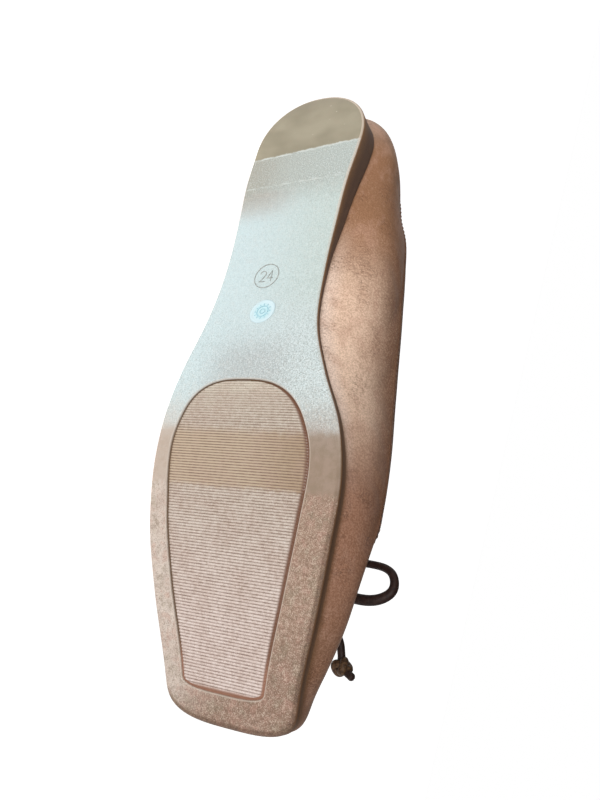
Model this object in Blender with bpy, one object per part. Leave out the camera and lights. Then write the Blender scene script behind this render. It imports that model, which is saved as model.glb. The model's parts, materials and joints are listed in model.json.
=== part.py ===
"""Square-toed ballet flat for the left foot, lying on its outer side.

Every piece is shaped in the shoe's own frame: x from heel to toe, y towards the outer side,
z up from the plane the sole stands on. The last step lays the finished shoe on its side.
"""
import math

import bmesh
import bpy
import numpy as np
from mathutils import Matrix, Vector

# Main sizes in metres
LENGTH = 0.250
BALL_WIDTH = 0.078
COUNTER_HEIGHT = 0.054
HEEL_STACK = 0.0142
ARCH_RISE = 0.0058
TOE_SPRING = 0.0152
TOE_SPRING_START = 0.180
ARCH_START = 0.038
ARCH_END = 0.150

# Length over which each end of an outline is rounded
HEEL_ROUND = 0.0240
TOE_ROUND = 0.0120
PANEL_REAR_ROUND = 0.0290
PANEL_TOE_ROUND = 0.0080
COLLAR_REAR_ROUND = 0.0260
THROAT_ROUND = 0.0170

# Sole details
SOLE_EDGE_ROUND = 0.0011
SOLE_TOP_ROUND = 0.0004
PANEL_START = 0.1282
PANEL_END = 0.2396
PANEL_DEPTH = 0.0007
PANEL_GROOVE_WIDTH = 0.0009
PANEL_GROOVE_DEPTH = 0.0011

# Upper, insole and the gaps that keep the pieces apart
WALL = 0.0018
FOOT_WALL = 0.0022
SOLE_LEDGE = 0.0006
JOINT_GAP = 0.0003
TOPLINE_WIDTH = 0.0034
TOPLINE_RAISE = 0.0005
COLLAR_START = 0.0016
THROAT_CENTRE = 0.1880
THROAT_RISE = 0.0125
FAN_START = 0.140
INSOLE_THICKNESS = 0.0025
INSOLE_GAP = 0.0004

# Bow
CORD_RADIUS = 0.0015
KNOT_RADIUS = 0.0031
KNOT_LENGTH = 0.0054
BOW_CENTRE = Vector((0.1905, -0.0030, 0.0462))

# Mesh density: places along the shoe, and extra length of edge counted per radian of turn
STATIONS = 52
TURN_LENGTH = 0.025

# Densities that place the centre of mass, in kg per cubic metre
RUBBER_DENSITY = 1100.0
FABRIC_DENSITY = 700.0
BOARD_DENSITY = 500.0


# Rounded ends: length of the rounding and how square it is
HEEL_END = (HEEL_ROUND, 2.15)
TOE_END = (TOE_ROUND, 3.2)
PANEL_REAR_END = (PANEL_REAR_ROUND, 2.7)
PANEL_TOE_END = (PANEL_TOE_ROUND, 3.0)
COLLAR_REAR_END = (COLLAR_REAR_ROUND, 2.1)
THROAT_END = (THROAT_ROUND, 2.7)


class Sections:
    """A short table of sections, one row per place along the shoe, read as smooth curves."""

    def __init__(self, columns, rows):
        self.place = np.array([row[0] for row in rows])
        self.column = {name: np.array([row[i] for row in rows]) for i, name in enumerate(columns)}

    def read(self, name, place):
        xs, ys = self.place, self.column[name]
        slopes = np.gradient(ys, xs)
        place = np.clip(place, xs[0], xs[-1])
        i = np.clip(np.searchsorted(xs, place, side="right") - 1, 0, len(xs) - 2)
        step = xs[i + 1] - xs[i]
        t = (place - xs[i]) / step
        return ((2 * t**3 - 3 * t**2 + 1) * ys[i] + (t**3 - 2 * t**2 + t) * step * slopes[i]
                + (3 * t**2 - 2 * t**3) * ys[i + 1] + (t**3 - t**2) * step * slopes[i + 1])


# Outline of the sole: centre line and half width in shares of the ball width
SOLE = Sections(("along", "centre", "half"), (
    (0.00, -0.060, 0.316),
    (0.12, -0.011, 0.310),
    (0.22, 0.038, 0.296),
    (0.32, 0.084, 0.296),
    (0.42, 0.102, 0.329),
    (0.50, 0.080, 0.401),
    (0.58, 0.037, 0.474),
    (0.65, 0.014, 0.497),
    (0.74, -0.008, 0.470),
    (0.84, -0.037, 0.409),
    (0.93, -0.049, 0.344),
    (1.00, -0.051, 0.312),
))

# Ribbed forefoot panel, in the same shares
PANEL = Sections(("along", "centre", "half"), (
    (0.51, 0.104, 0.336),
    (0.57, 0.076, 0.352),
    (0.63, 0.056, 0.378),
    (0.72, 0.030, 0.350),
    (0.82, 0.000, 0.291),
    (0.92, -0.018, 0.222),
    (0.96, -0.018, 0.204),
))

# Height of the sole's top above its underside, in shares of the heel stack
STACK = Sections(("along", "thick"), (
    (0.00, 1.000),
    (0.08, 0.930),
    (0.15, 0.800),
    (0.22, 0.590),
    (0.30, 0.300),
    (0.38, 0.205),
    (0.46, 0.215),
    (0.54, 0.270),
    (0.64, 0.320),
    (0.80, 0.310),
    (1.00, 0.290),
))

# Collar in plan (shares of the ball width) and its height (share of the counter height)
COLLAR = Sections(("along", "centre", "half", "height"), (
    (0.00, -0.040, 0.310, 1.000),
    (0.12, -0.038, 0.333, 0.945),
    (0.18, -0.060, 0.372, 0.910),
    (0.24, -0.064, 0.392, 0.880),
    (0.36, -0.069, 0.416, 0.840),
    (0.48, -0.060, 0.445, 0.815),
    (0.60, -0.039, 0.494, 0.745),
    (0.70, -0.038, 0.516, 0.590),
    (0.76, -0.038, 0.508, 0.545),
))

# How far the wall swells past the sole's edge (shares of the ball width), and how high up
BELLY = Sections(("along", "outer", "inner", "height"), (
    (0.00, 0.066, 0.096, 0.22),
    (0.06, 0.050, 0.073, 0.25),
    (0.12, 0.042, 0.099, 0.30),
    (0.24, 0.036, 0.202, 0.42),
    (0.34, 0.032, 0.234, 0.47),
    (0.44, 0.030, 0.198, 0.48),
    (0.52, 0.028, 0.122, 0.48),
    (0.60, 0.026, 0.064, 0.48),
    (0.72, 0.030, 0.052, 0.47),
    (0.80, 0.026, 0.048, 0.44),
    (0.86, 0.022, 0.046, 0.42),
    (0.91, 0.012, 0.022, 0.40),
    (0.95, 0.002, -0.010, 0.40),
    (1.00, -0.014, -0.036, 0.42),
))


def underside(x):
    """Height of the sole's underside: flat heel, raised waist, flat tread, sprung toe."""
    share = np.clip((x - ARCH_START) / (ARCH_END - ARCH_START), 0.0, 1.0)
    arch = ARCH_RISE * np.sin(math.pi * share**0.8) ** 2
    spring = np.clip((x - TOE_SPRING_START) / (LENGTH - TOE_SPRING_START), 0.0, None)
    return arch + TOE_SPRING * spring**2


def sole_top(x):
    return underside(x) + HEEL_STACK * STACK.read("thick", x / LENGTH)


def end_share(distance, end):
    """Share of the full half width left at a distance from a rounded end."""
    length, power = end
    u = np.clip(1.0 - distance / length, 0.0, 1.0)
    return (1.0 - u**power) ** (1.0 / power)


def plan_curve(table, start, end, rear, front):
    """Dense edge of an outline from the rear centre to the front centre."""
    x = start + (end - start) * (0.5 - 0.5 * np.cos(np.linspace(0.0, math.pi, 1601)))
    half = BALL_WIDTH * table.read("half", x / LENGTH)
    half = half * end_share(x - start, rear) * end_share(end - x, front)
    return x, BALL_WIDTH * table.read("centre", x / LENGTH), half


def outline(table, start, end, rear, front):
    """Closed outline: rear centre, outer edge, front centre, inner edge back."""
    x, centre, half = plan_curve(table, start, end, rear, front)
    dx, dy = np.diff(x), np.diff(half)
    heading = np.arctan2(dy, dx)
    turn = np.abs(np.diff(heading, prepend=heading[0]))
    run = np.concatenate(([0.0], np.cumsum(np.hypot(dx, dy) + TURN_LENGTH * turn)))
    at = np.linspace(0.0, run[-1], STATIONS + 1)
    xs, cs, hs = (np.interp(at, run, v) for v in (x, centre, half))
    outer = np.column_stack((xs, cs + hs))
    inner = np.column_stack((xs, cs - hs))
    return np.concatenate((outer, inner[-2:0:-1]))


def plan_normals(loop):
    ahead = np.roll(loop, -1, axis=0) - np.roll(loop, 1, axis=0)
    ahead /= np.linalg.norm(ahead, axis=1)[:, None]
    return np.column_stack((-ahead[:, 1], ahead[:, 0]))


def ring(plan, inset, height):
    """A plan outline moved inward, each point set at the height given for its own x."""
    moved = plan - plan_normals(plan) * inset
    return np.column_stack((moved, height(moved[:, 0])))


def bridge(rings, closed=False):
    """Quads between neighbouring rings of equal length."""
    count = len(rings[0])
    faces = []
    last = len(rings) if closed else len(rings) - 1
    for r in range(last):
        a, b = r * count, (r + 1) % len(rings) * count
        for i in range(count):
            j = (i + 1) % count
            faces.append((a + i, a + j, b + j, b + i))
    return faces


def strips(base):
    """Cross strips that fill the ring starting at a vertex number."""
    count = 2 * STATIONS
    faces = [(base, base + 1, base + count - 1)]
    for i in range(1, STATIONS - 1):
        faces.append((base + i, base + i + 1, base + count - i - 1, base + count - i))
    faces.append((base + STATIONS - 1, base + STATIONS, base + STATIONS + 1))
    return faces


def make_object(name, points, faces, collection, material=None):
    mesh = bpy.data.meshes.new(name)
    mesh.from_pydata([tuple(p) for p in points], [], faces)
    work = bmesh.new()
    work.from_mesh(mesh)
    bmesh.ops.recalc_face_normals(work, faces=work.faces)
    work.to_mesh(mesh)
    work.free()
    obj = bpy.data.objects.new(name, mesh)
    collection.objects.link(obj)
    if material:
        mesh.materials.append(material)
    return obj


def plate(name, rings, collection, material=None):
    """A solid from stacked rings, its first and last ring filled across."""
    count = len(rings[0])
    faces = bridge(rings) + strips(0) + strips((len(rings) - 1) * count)
    return make_object(name, np.concatenate(rings), faces, collection, material)


def make_material(name, colour, roughness):
    material = bpy.data.materials.new(name)
    material.use_nodes = True
    shader = material.node_tree.nodes["Principled BSDF"]
    shader.inputs["Base Color"].default_value = (*colour, 1.0)
    shader.inputs["Roughness"].default_value = roughness
    return material


def make_outsole(collection, cutters, material):
    edge = outline(SOLE, 0.0, LENGTH, HEEL_END, TOE_END)
    corner = SOLE_EDGE_ROUND * (1.0 - math.sqrt(0.5))
    rings = [
        ring(edge, SOLE_EDGE_ROUND, underside),
        ring(edge, corner, lambda x: underside(x) + corner),
        ring(edge, 0.0, lambda x: underside(x) + SOLE_EDGE_ROUND),
        ring(edge, 0.0, lambda x: sole_top(x) - SOLE_TOP_ROUND),
        ring(edge, SOLE_TOP_ROUND, sole_top),
    ]
    sole = plate("outsole", rings, collection, material)

    panel = outline(PANEL, PANEL_START, PANEL_END, PANEL_REAR_END, PANEL_TOE_END)
    groove = PANEL_GROOVE_WIDTH
    slope = PANEL_GROOVE_DEPTH - PANEL_DEPTH
    cutter = plate("panel_cutter", [
        ring(panel, 0.0, lambda x: underside(x) - HEEL_STACK),
        ring(panel, 0.0, lambda x: underside(x) + PANEL_GROOVE_DEPTH),
        ring(panel, groove, lambda x: underside(x) + PANEL_GROOVE_DEPTH),
        ring(panel, groove + slope, lambda x: underside(x) + PANEL_DEPTH),
    ], cutters)
    cutter.hide_render = True
    cutter.display_type = "WIRE"
    cut = sole.modifiers.new("panel", "BOOLEAN")
    cut.operation = "DIFFERENCE"
    cut.solver = "EXACT"
    cut.object = cutter
    return sole


def collar_edge(edge):
    """Points of the collar and throat that answer the points of the sole's outline."""
    x, centre, half = plan_curve(COLLAR, COLLAR_START, THROAT_CENTRE, COLLAR_REAR_END, THROAT_END)
    run = np.concatenate(([0.0], np.cumsum(np.hypot(np.diff(x), np.diff(half)))))
    side = edge[:STATIONS + 1]
    walked = np.concatenate(([0.0], np.cumsum(np.linalg.norm(np.diff(side, axis=0), axis=1))))
    turn_sole = np.interp(FAN_START, side[:, 0], walked)
    turn_collar = np.interp(FAN_START, x, run)
    at = np.interp(walked, (0.0, turn_sole, walked[-1]), (0.0, turn_collar, run[-1]))
    xs, cs, hs = (np.interp(at, run, v) for v in (x, centre, half))

    full = BALL_WIDTH * COLLAR.read("half", xs / LENGTH)
    across = np.where(xs > THROAT_CENTRE / 2, hs / full, 1.0)
    height = (COUNTER_HEIGHT * COLLAR.read("height", xs / LENGTH)
              + THROAT_RISE * (1.0 - across**2.2))
    outer = np.column_stack((xs, cs + hs, height))
    inner = np.column_stack((xs, cs - hs, height))
    return np.concatenate((outer, inner[-2:0:-1]))


def belly_ring(edge, foot, collar):
    """The widest line of the wall, between its foot and the collar."""
    share = edge[:, 0] / LENGTH
    outer_side = np.arange(len(edge)) <= STATIONS
    swell = BALL_WIDTH * np.where(outer_side, BELLY.read("outer", share), BELLY.read("inner", share))
    height = foot[:, 2] + BELLY.read("height", share) * (collar[:, 2] - foot[:, 2])
    return np.column_stack((edge + plan_normals(edge) * swell[:, None], height))


def wall_line(foot, belly, collar, samples=80):
    """Centripetal curve from the foot of the wall over its belly to the collar."""
    d1 = math.sqrt(np.linalg.norm(belly - foot))
    d2 = math.sqrt(np.linalg.norm(collar - belly))
    heading = ((belly - foot) / d1 * d2 + (collar - belly) / d2 * d1) / (d1 + d2)
    pieces = []
    for a, b, before, after in (
        (foot, belly, 1.5 * (belly - foot) - 0.5 * heading * d1, heading * d1),
        (belly, collar, heading * d2, 1.5 * (collar - belly) - 0.5 * heading * d2),
    ):
        t = np.linspace(0.0, 1.0, samples)[:, None]
        pieces.append((2 * t**3 - 3 * t**2 + 1) * a + (t**3 - 2 * t**2 + t) * before
                      + (3 * t**2 - 2 * t**3) * b + (t**3 - t**2) * after)
    return np.concatenate((pieces[0], pieces[1][1:]))


def wall_rings(edge):
    """Outer face of the upper: even rings up the wall, then the rings of the topline."""
    foot = ring(edge, SOLE_LEDGE, lambda x: sole_top(x) + JOINT_GAP)
    collar = collar_edge(edge)
    belly = belly_ring(edge, foot, collar)
    shares = (0.0, 0.05, 0.12, 0.21, 0.31, 0.42, 0.54, 0.66, 0.78, 0.90, 1.0)
    topline = (TOPLINE_WIDTH - TOPLINE_RAISE, TOPLINE_RAISE, 0.0)
    grid = np.zeros((len(shares) + len(topline), len(edge), 3))
    for k in range(len(edge)):
        line = wall_line(foot[k], belly[k], collar[k])
        run = np.concatenate(([0.0], np.cumsum(np.linalg.norm(np.diff(line, axis=0), axis=1))))
        at = [s * (run[-1] - TOPLINE_WIDTH) for s in shares] + [run[-1] - t for t in topline]
        grid[:, k] = np.column_stack([np.interp(at, run, line[:, i]) for i in range(3)])
    return grid


def grid_normals(grid):
    around = np.roll(grid, -1, axis=1) - np.roll(grid, 1, axis=1)
    up = np.gradient(grid, axis=0)
    normal = np.cross(up, around)
    return normal / np.linalg.norm(normal, axis=2)[:, :, None]


def make_upper(collection, material):
    edge = outline(SOLE, 0.0, LENGTH, HEEL_END, TOE_END)
    grid = wall_rings(edge)
    normal = grid_normals(grid)
    if normal[0, STATIONS // 2, 1] < 0.0:
        normal = -normal
    outside = grid.copy()
    outside[-3] += normal[-3] * TOPLINE_RAISE
    outside[-2] += normal[-2] * TOPLINE_RAISE
    inside = grid - normal * WALL
    foot_inside = ring(edge, SOLE_LEDGE + FOOT_WALL, lambda x: sole_top(x) + JOINT_GAP)
    rows = (13, 10, 8, 7, 6, 5, 4, 3, 2)
    rings = list(outside) + [inside[r] for r in rows] + [foot_inside]
    faces = bridge(rings, closed=True)
    return make_object("upper", np.concatenate(rings), faces, collection, material)


def make_insole(collection, material):
    edge = outline(SOLE, 0.0, LENGTH, HEEL_END, TOE_END)
    inset = SOLE_LEDGE + FOOT_WALL + INSOLE_GAP
    rim = INSOLE_THICKNESS / 5
    rings = [
        ring(edge, inset, lambda x: sole_top(x) + JOINT_GAP),
        ring(edge, inset, lambda x: sole_top(x) + JOINT_GAP + INSOLE_THICKNESS - rim),
        ring(edge, inset + rim, lambda x: sole_top(x) + JOINT_GAP + INSOLE_THICKNESS),
    ]
    return plate("insole", rings, collection, material)


def smooth_path(points, steps):
    """Catmull-Rom path through a few control points."""
    pts = [Vector(p) for p in points]
    pts = [2 * pts[0] - pts[1]] + pts + [2 * pts[-1] - pts[-2]]
    path = []
    for i in range(1, len(pts) - 2):
        a, b, c, d = pts[i - 1:i + 3]
        for s in range(steps):
            t = s / steps
            path.append(0.5 * (2 * b + (c - a) * t + (2 * a - 5 * b + 4 * c - d) * t**2
                               + (3 * b - a - 3 * c + d) * t**3))
    path.append(pts[-2])
    return path


def make_cord(name, path, radius, swell, collection, material):
    """A round cord along a path; swell gives the width at a share of the path."""
    data = bpy.data.curves.new(name, "CURVE")
    data.dimensions = "3D"
    data.bevel_depth = radius
    data.bevel_resolution = 2
    data.use_fill_caps = True
    spline = data.splines.new("POLY")
    spline.points.add(len(path) - 1)
    for i, (point, place) in enumerate(zip(spline.points, path)):
        point.co = (*place, 1.0)
        point.radius = swell(i / (len(path) - 1))
    obj = bpy.data.objects.new(name, data)
    collection.objects.link(obj)
    data.materials.append(material)
    return obj


# Bow control points as offsets from the bow's centre, towards the side it lies on.
# Columns: ahead of the centre, out to the side, up, all in shares of the bow's reach.
BOW_REACH = 0.0440
LOOP_POINTS = (
    (-0.030, 0.090, 0.000),
    (-0.066, 0.400, 0.040),
    (-0.068, 0.780, 0.020),
    (-0.030, 0.945, -0.015),
    (0.062, 1.005, -0.040),
    (0.155, 0.985, -0.062),
    (0.225, 0.870, -0.075),
    (0.238, 0.690, -0.070),
    (0.190, 0.380, -0.055),
    (0.040, 0.090, -0.015),
)
TAIL_POINTS = (
    (0.112, 0.030, -0.040),
    (0.280, 0.260, -0.055),
    (0.470, 0.480, -0.050),
    (0.593, 0.585, -0.050),
    (0.702, 0.619, -0.045),
    (0.799, 0.640, -0.045),
    (0.864, 0.736, -0.050),
)
OUTER_SIDE_SHARE = 0.86
END_KNOT_SHARE = 0.89
END_KNOT_SPREAD_SHARE = 0.085
END_KNOT_SWELL = 1.55


def bow_points(points, side):
    aside = side * (OUTER_SIDE_SHARE if side > 0 else 1.0)
    return [BOW_CENTRE + BOW_REACH * Vector((ahead, aside * out, up)) for ahead, out, up in points]


def plain_width(share):
    return 1.0


def tail_width(share):
    """Cord width along a tail: a tied knot short of the loose end."""
    bump = max(0.0, 1.0 - ((share - END_KNOT_SHARE) / END_KNOT_SPREAD_SHARE) ** 2)
    return 0.92 + END_KNOT_SWELL * math.sqrt(bump)


def knot_width(share):
    return 0.55 + 0.45 * math.sqrt(max(0.0, 1.0 - (2.0 * share - 1.0) ** 2))


def make_bow(collection, material):
    pieces = []
    for label, side in (("inner", -1.0), ("outer", 1.0)):
        loop = smooth_path(bow_points(LOOP_POINTS, side), 3)
        pieces.append(make_cord(f"bow_loop_{label}", loop, CORD_RADIUS, plain_width,
                                collection, material))
        tail = smooth_path(bow_points(TAIL_POINTS, side), 4)
        pieces.append(make_cord(f"bow_end_{label}", tail, CORD_RADIUS, tail_width,
                                collection, material))
    across = [BOW_CENTRE + Vector((0.0005, y * KNOT_LENGTH / 2, 0.0))
              for y in (-1.0, -0.75, -0.4, 0.0, 0.4, 0.75, 1.0)]
    pieces.append(make_cord("bow_knot", across, KNOT_RADIUS, knot_width, collection, material))
    return pieces


def mass_centre(weighted):
    """Centre of mass of closed meshes with their densities."""
    total, moment = 0.0, Vector((0.0, 0.0, 0.0))
    for obj, density in weighted:
        work = bmesh.new()
        work.from_mesh(obj.data)
        bmesh.ops.triangulate(work, faces=work.faces)
        for face in work.faces:
            a, b, c = (v.co for v in face.verts)
            volume = a.dot(b.cross(c)) / 6.0
            total += density * volume
            moment += density * volume * (a + b + c) / 4.0
        work.free()
    return moment / total


def resting_direction(bodies, centre):
    """Direction that faces the floor when the shoe lies on its outer side.

    It is the normal of the hull face, on the outer side, that the centre of mass stands over.
    """
    hull = bmesh.new()
    for obj in bodies:
        hull.from_mesh(obj.data)
    bmesh.ops.convex_hull(hull, input=hull.verts)
    bmesh.ops.delete(hull, geom=[v for v in hull.verts if not v.link_faces], context="VERTS")
    bmesh.ops.triangulate(hull, faces=hull.faces)
    middle = sum((v.co for v in hull.verts), Vector()) / len(hull.verts)
    found = None
    for face in hull.faces:
        a, b, c = (v.co for v in face.verts)
        normal = (b - a).cross(c - a)
        if normal.length < 1e-12:
            continue
        normal.normalize()
        if normal.dot(a - middle) < 0.0:
            normal = -normal
        if normal.y < 0.8:
            continue
        foot = centre - normal * (centre - a).dot(normal)
        sides = [(q - p).cross(foot - p).dot(normal) for p, q in ((a, b), (b, c), (c, a))]
        if min(sides) >= 0.0 or max(sides) <= 0.0:
            found = normal.copy()
    hull.free()
    return found


def lay_down(objects, bodies, centre):
    """Turn the shoe onto its outer side, toe towards +X, and set it on the origin."""
    down = resting_direction(bodies, centre)
    up = -down
    toe = Vector((1.0, 0.0, 0.0))
    toe = (toe - up * toe.dot(up)).normalized()
    across = up.cross(toe)
    turn = Matrix((toe, across, up)).to_4x4()
    for obj in objects:
        obj.data.transform(turn)
    corners = []
    for obj in bodies:
        corners += [v.co.copy() for v in obj.data.vertices]
    for obj in objects:
        if obj.type == "CURVE":
            for point in obj.data.splines[0].points:
                reach = obj.data.bevel_depth * point.radius
                corners += [point.co.xyz + Vector((s * reach, s * reach, s * reach)) for s in (-1, 1)]
    low = Vector([min(c[i] for c in corners) for i in range(3)])
    high = Vector([max(c[i] for c in corners) for i in range(3)])
    shift = Matrix.Translation((-(low.x + high.x) / 2, -(low.y + high.y) / 2, -low.z))
    for obj in objects:
        obj.data.transform(shift)


def build():
    for obj in list(bpy.data.objects):
        bpy.data.objects.remove(obj)
    shoe = bpy.data.collections.new("ballet_flat")
    cutters = bpy.data.collections.new("cutters")
    bpy.context.scene.collection.children.link(shoe)
    bpy.context.scene.collection.children.link(cutters)

    sole_rubber = make_material("sole_rubber", (0.48, 0.36, 0.28), 0.45)
    upper_suede = make_material("upper_suede", (0.55, 0.33, 0.25), 0.75)
    insole_cloth = make_material("insole_cloth", (0.62, 0.50, 0.40), 0.80)
    bow_cord = make_material("bow_cord", (0.16, 0.08, 0.05), 0.50)

    outsole = make_outsole(shoe, cutters, sole_rubber)
    upper = make_upper(shoe, upper_suede)
    insole = make_insole(shoe, insole_cloth)
    bow = make_bow(shoe, bow_cord)

    bodies = [outsole, upper, insole]
    centre = mass_centre([(outsole, RUBBER_DENSITY), (upper, FABRIC_DENSITY),
                          (insole, BOARD_DENSITY)])
    everything = bodies + bow + list(cutters.objects)
    lay_down(everything, [outsole, upper], centre)


build()
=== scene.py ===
"""Looks of the ballet flat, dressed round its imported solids.

Everything is shaped in the shoe's own frame (x heel to toe, y to the outer side, z up from the
plane of the tread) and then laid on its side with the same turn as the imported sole.
"""
import json
import math

import bmesh
import bpy
import numpy as np
from mathutils import Matrix, Vector, geometry


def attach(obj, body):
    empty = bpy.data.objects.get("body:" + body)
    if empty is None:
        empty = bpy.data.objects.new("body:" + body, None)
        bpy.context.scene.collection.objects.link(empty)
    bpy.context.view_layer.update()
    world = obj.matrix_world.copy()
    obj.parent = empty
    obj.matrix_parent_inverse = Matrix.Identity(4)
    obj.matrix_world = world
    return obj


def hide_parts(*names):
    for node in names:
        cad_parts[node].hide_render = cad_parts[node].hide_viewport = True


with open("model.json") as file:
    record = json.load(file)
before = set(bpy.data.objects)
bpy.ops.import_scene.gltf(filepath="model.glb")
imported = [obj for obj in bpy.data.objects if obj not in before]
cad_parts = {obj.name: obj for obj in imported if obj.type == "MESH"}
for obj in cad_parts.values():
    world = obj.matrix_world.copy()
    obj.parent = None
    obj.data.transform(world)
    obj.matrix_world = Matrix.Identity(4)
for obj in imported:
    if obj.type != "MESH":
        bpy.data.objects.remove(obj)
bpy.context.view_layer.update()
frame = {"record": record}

MM = 0.001
PER_METRE = 1000.0

# Sizes shared with the part, in metres
LENGTH = 0.250
BALL_WIDTH = 0.078
COUNTER_HEIGHT = 0.054
HEEL_STACK = 0.0142
ARCH_RISE = 0.0058
ARCH_START = 0.038
ARCH_END = 0.150
TOE_SPRING = 0.0152
TOE_SPRING_START = 0.180
PANEL_START = 0.1282
PANEL_END = 0.2396
COLLAR_START = 0.0016
THROAT_CENTRE = 0.1880
THROAT_RISE = 0.0125
FAN_START = 0.140
SOLE_LEDGE = 0.0006
JOINT_GAP = 0.0003
CORD_RADIUS = 0.0015
KNOT_RADIUS = 0.0031
BOW_CENTRE = np.array((0.1905, -0.0030, 0.0462))
BOW_REACH = 0.0440
OUTER_SIDE_SHARE = 0.86
MOUNT_PLACE = np.array((0.024, -0.001, 0.0))

HEEL_END = (0.0240, 2.15)
TOE_END = (0.0120, 3.2)
PANEL_REAR_END = (0.0290, 2.7)
PANEL_TOE_END = (0.0042, 3.3)
COLLAR_REAR_END = (0.0260, 2.1)
THROAT_END = (0.0170, 2.7)

# Mesh density
SOLE_STATIONS = 170
PANEL_STATIONS = 120
UPPER_STATIONS = 170
TURN_LENGTH = 0.025


class Sections:
    """A short table of sections, one row per place along the shoe, read as smooth curves."""

    def __init__(self, columns, rows):
        self.place = np.array([row[0] for row in rows])
        self.column = {name: np.array([row[i] for row in rows]) for i, name in enumerate(columns)}

    def read(self, name, place):
        xs, ys = self.place, self.column[name]
        slopes = np.gradient(ys, xs)
        place = np.clip(place, xs[0], xs[-1])
        i = np.clip(np.searchsorted(xs, place, side="right") - 1, 0, len(xs) - 2)
        step = xs[i + 1] - xs[i]
        t = (place - xs[i]) / step
        return ((2 * t**3 - 3 * t**2 + 1) * ys[i] + (t**3 - 2 * t**2 + t) * step * slopes[i]
                + (3 * t**2 - 2 * t**3) * ys[i + 1] + (t**3 - t**2) * step * slopes[i + 1])


SOLE = Sections(("along", "centre", "half"), (
    (0.00, -0.060, 0.316),
    (0.12, -0.011, 0.310),
    (0.22, 0.038, 0.296),
    (0.32, 0.084, 0.296),
    (0.42, 0.102, 0.329),
    (0.50, 0.080, 0.401),
    (0.58, 0.037, 0.474),
    (0.65, 0.014, 0.497),
    (0.74, -0.008, 0.470),
    (0.84, -0.037, 0.409),
    (0.93, -0.049, 0.344),
    (1.00, -0.051, 0.312),
))

PANEL = Sections(("along", "centre", "half"), (
    (0.51, 0.104, 0.336),
    (0.57, 0.076, 0.352),
    (0.63, 0.056, 0.378),
    (0.72, 0.030, 0.350),
    (0.82, 0.000, 0.291),
    (0.92, -0.018, 0.222),
    (0.96, -0.018, 0.204),
))

STACK = Sections(("along", "thick"), (
    (0.00, 1.000),
    (0.08, 0.930),
    (0.15, 0.800),
    (0.22, 0.590),
    (0.30, 0.300),
    (0.38, 0.205),
    (0.46, 0.215),
    (0.54, 0.270),
    (0.64, 0.320),
    (0.80, 0.310),
    (1.00, 0.290),
))

COLLAR = Sections(("along", "centre", "half", "height"), (
    (0.00, -0.040, 0.310, 1.000),
    (0.12, -0.038, 0.333, 0.945),
    (0.18, -0.060, 0.372, 0.910),
    (0.24, -0.064, 0.392, 0.880),
    (0.36, -0.069, 0.416, 0.840),
    (0.48, -0.060, 0.445, 0.815),
    (0.60, -0.039, 0.494, 0.745),
    (0.70, -0.038, 0.516, 0.590),
    (0.76, -0.038, 0.508, 0.545),
))

BELLY = Sections(("along", "outer", "inner", "height"), (
    (0.00, 0.066, 0.096, 0.22),
    (0.06, 0.050, 0.073, 0.25),
    (0.12, 0.042, 0.099, 0.30),
    (0.24, 0.036, 0.202, 0.42),
    (0.34, 0.032, 0.234, 0.47),
    (0.44, 0.030, 0.198, 0.48),
    (0.52, 0.028, 0.122, 0.48),
    (0.60, 0.026, 0.064, 0.48),
    (0.72, 0.030, 0.052, 0.47),
    (0.80, 0.026, 0.048, 0.44),
    (0.86, 0.022, 0.046, 0.42),
    (0.91, 0.012, 0.022, 0.40),
    (0.95, 0.002, -0.010, 0.40),
    (1.00, -0.014, -0.036, 0.42),
))


def underside(x):
    share = np.clip((x - ARCH_START) / (ARCH_END - ARCH_START), 0.0, 1.0)
    arch = ARCH_RISE * np.sin(math.pi * share**0.8) ** 2
    spring = np.clip((x - TOE_SPRING_START) / (LENGTH - TOE_SPRING_START), 0.0, None)
    return arch + TOE_SPRING * spring**2


def sole_top(x):
    return underside(x) + HEEL_STACK * STACK.read("thick", x / LENGTH)


def seat(x):
    """The height on which the upper and the board rest."""
    return sole_top(x) + JOINT_GAP


def end_share(distance, end):
    length, power = end
    u = np.clip(1.0 - distance / length, 0.0, 1.0)
    return (1.0 - u**power) ** (1.0 / power)


def plan_curve(table, start, end, rear, front):
    x = start + (end - start) * (0.5 - 0.5 * np.cos(np.linspace(0.0, math.pi, 4001)))
    half = BALL_WIDTH * table.read("half", x / LENGTH)
    half = half * end_share(x - start, rear) * end_share(end - x, front)
    return x, BALL_WIDTH * table.read("centre", x / LENGTH), half


def outline(table, start, end, rear, front, stations):
    """Closed outline: rear centre, outer edge, front centre, inner edge back."""
    x, centre, half = plan_curve(table, start, end, rear, front)
    dx, dy = np.diff(x), np.diff(half)
    heading = np.arctan2(dy, dx)
    turn = np.abs(np.diff(heading, prepend=heading[0]))
    run = np.concatenate(([0.0], np.cumsum(np.hypot(dx, dy) + TURN_LENGTH * turn)))
    at = np.linspace(0.0, run[-1], stations + 1)
    xs, cs, hs = (np.interp(at, run, v) for v in (x, centre, half))
    outer = np.column_stack((xs, cs + hs))
    inner = np.column_stack((xs, cs - hs))
    return np.concatenate((outer, inner[-2:0:-1]))


def plan_normals(loop):
    ahead = np.roll(loop, -1, axis=0) - np.roll(loop, 1, axis=0)
    ahead /= np.linalg.norm(ahead, axis=1)[:, None]
    return np.column_stack((-ahead[:, 1], ahead[:, 0]))


def ring(plan, inset, height):
    moved = plan - plan_normals(plan) * inset
    return np.column_stack((moved, height(moved[:, 0])))


def bump(value, centre, width):
    """Smooth hill of height 1 at the centre, gone at a width to each side."""
    t = np.clip(np.abs(np.asarray(value) - centre) / width, 0.0, 1.0)
    return (1.0 - t * t) ** 2


def ease(value, low, high):
    t = np.clip((np.asarray(value) - low) / (high - low), 0.0, 1.0)
    return t * t * (3.0 - 2.0 * t)


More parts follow.
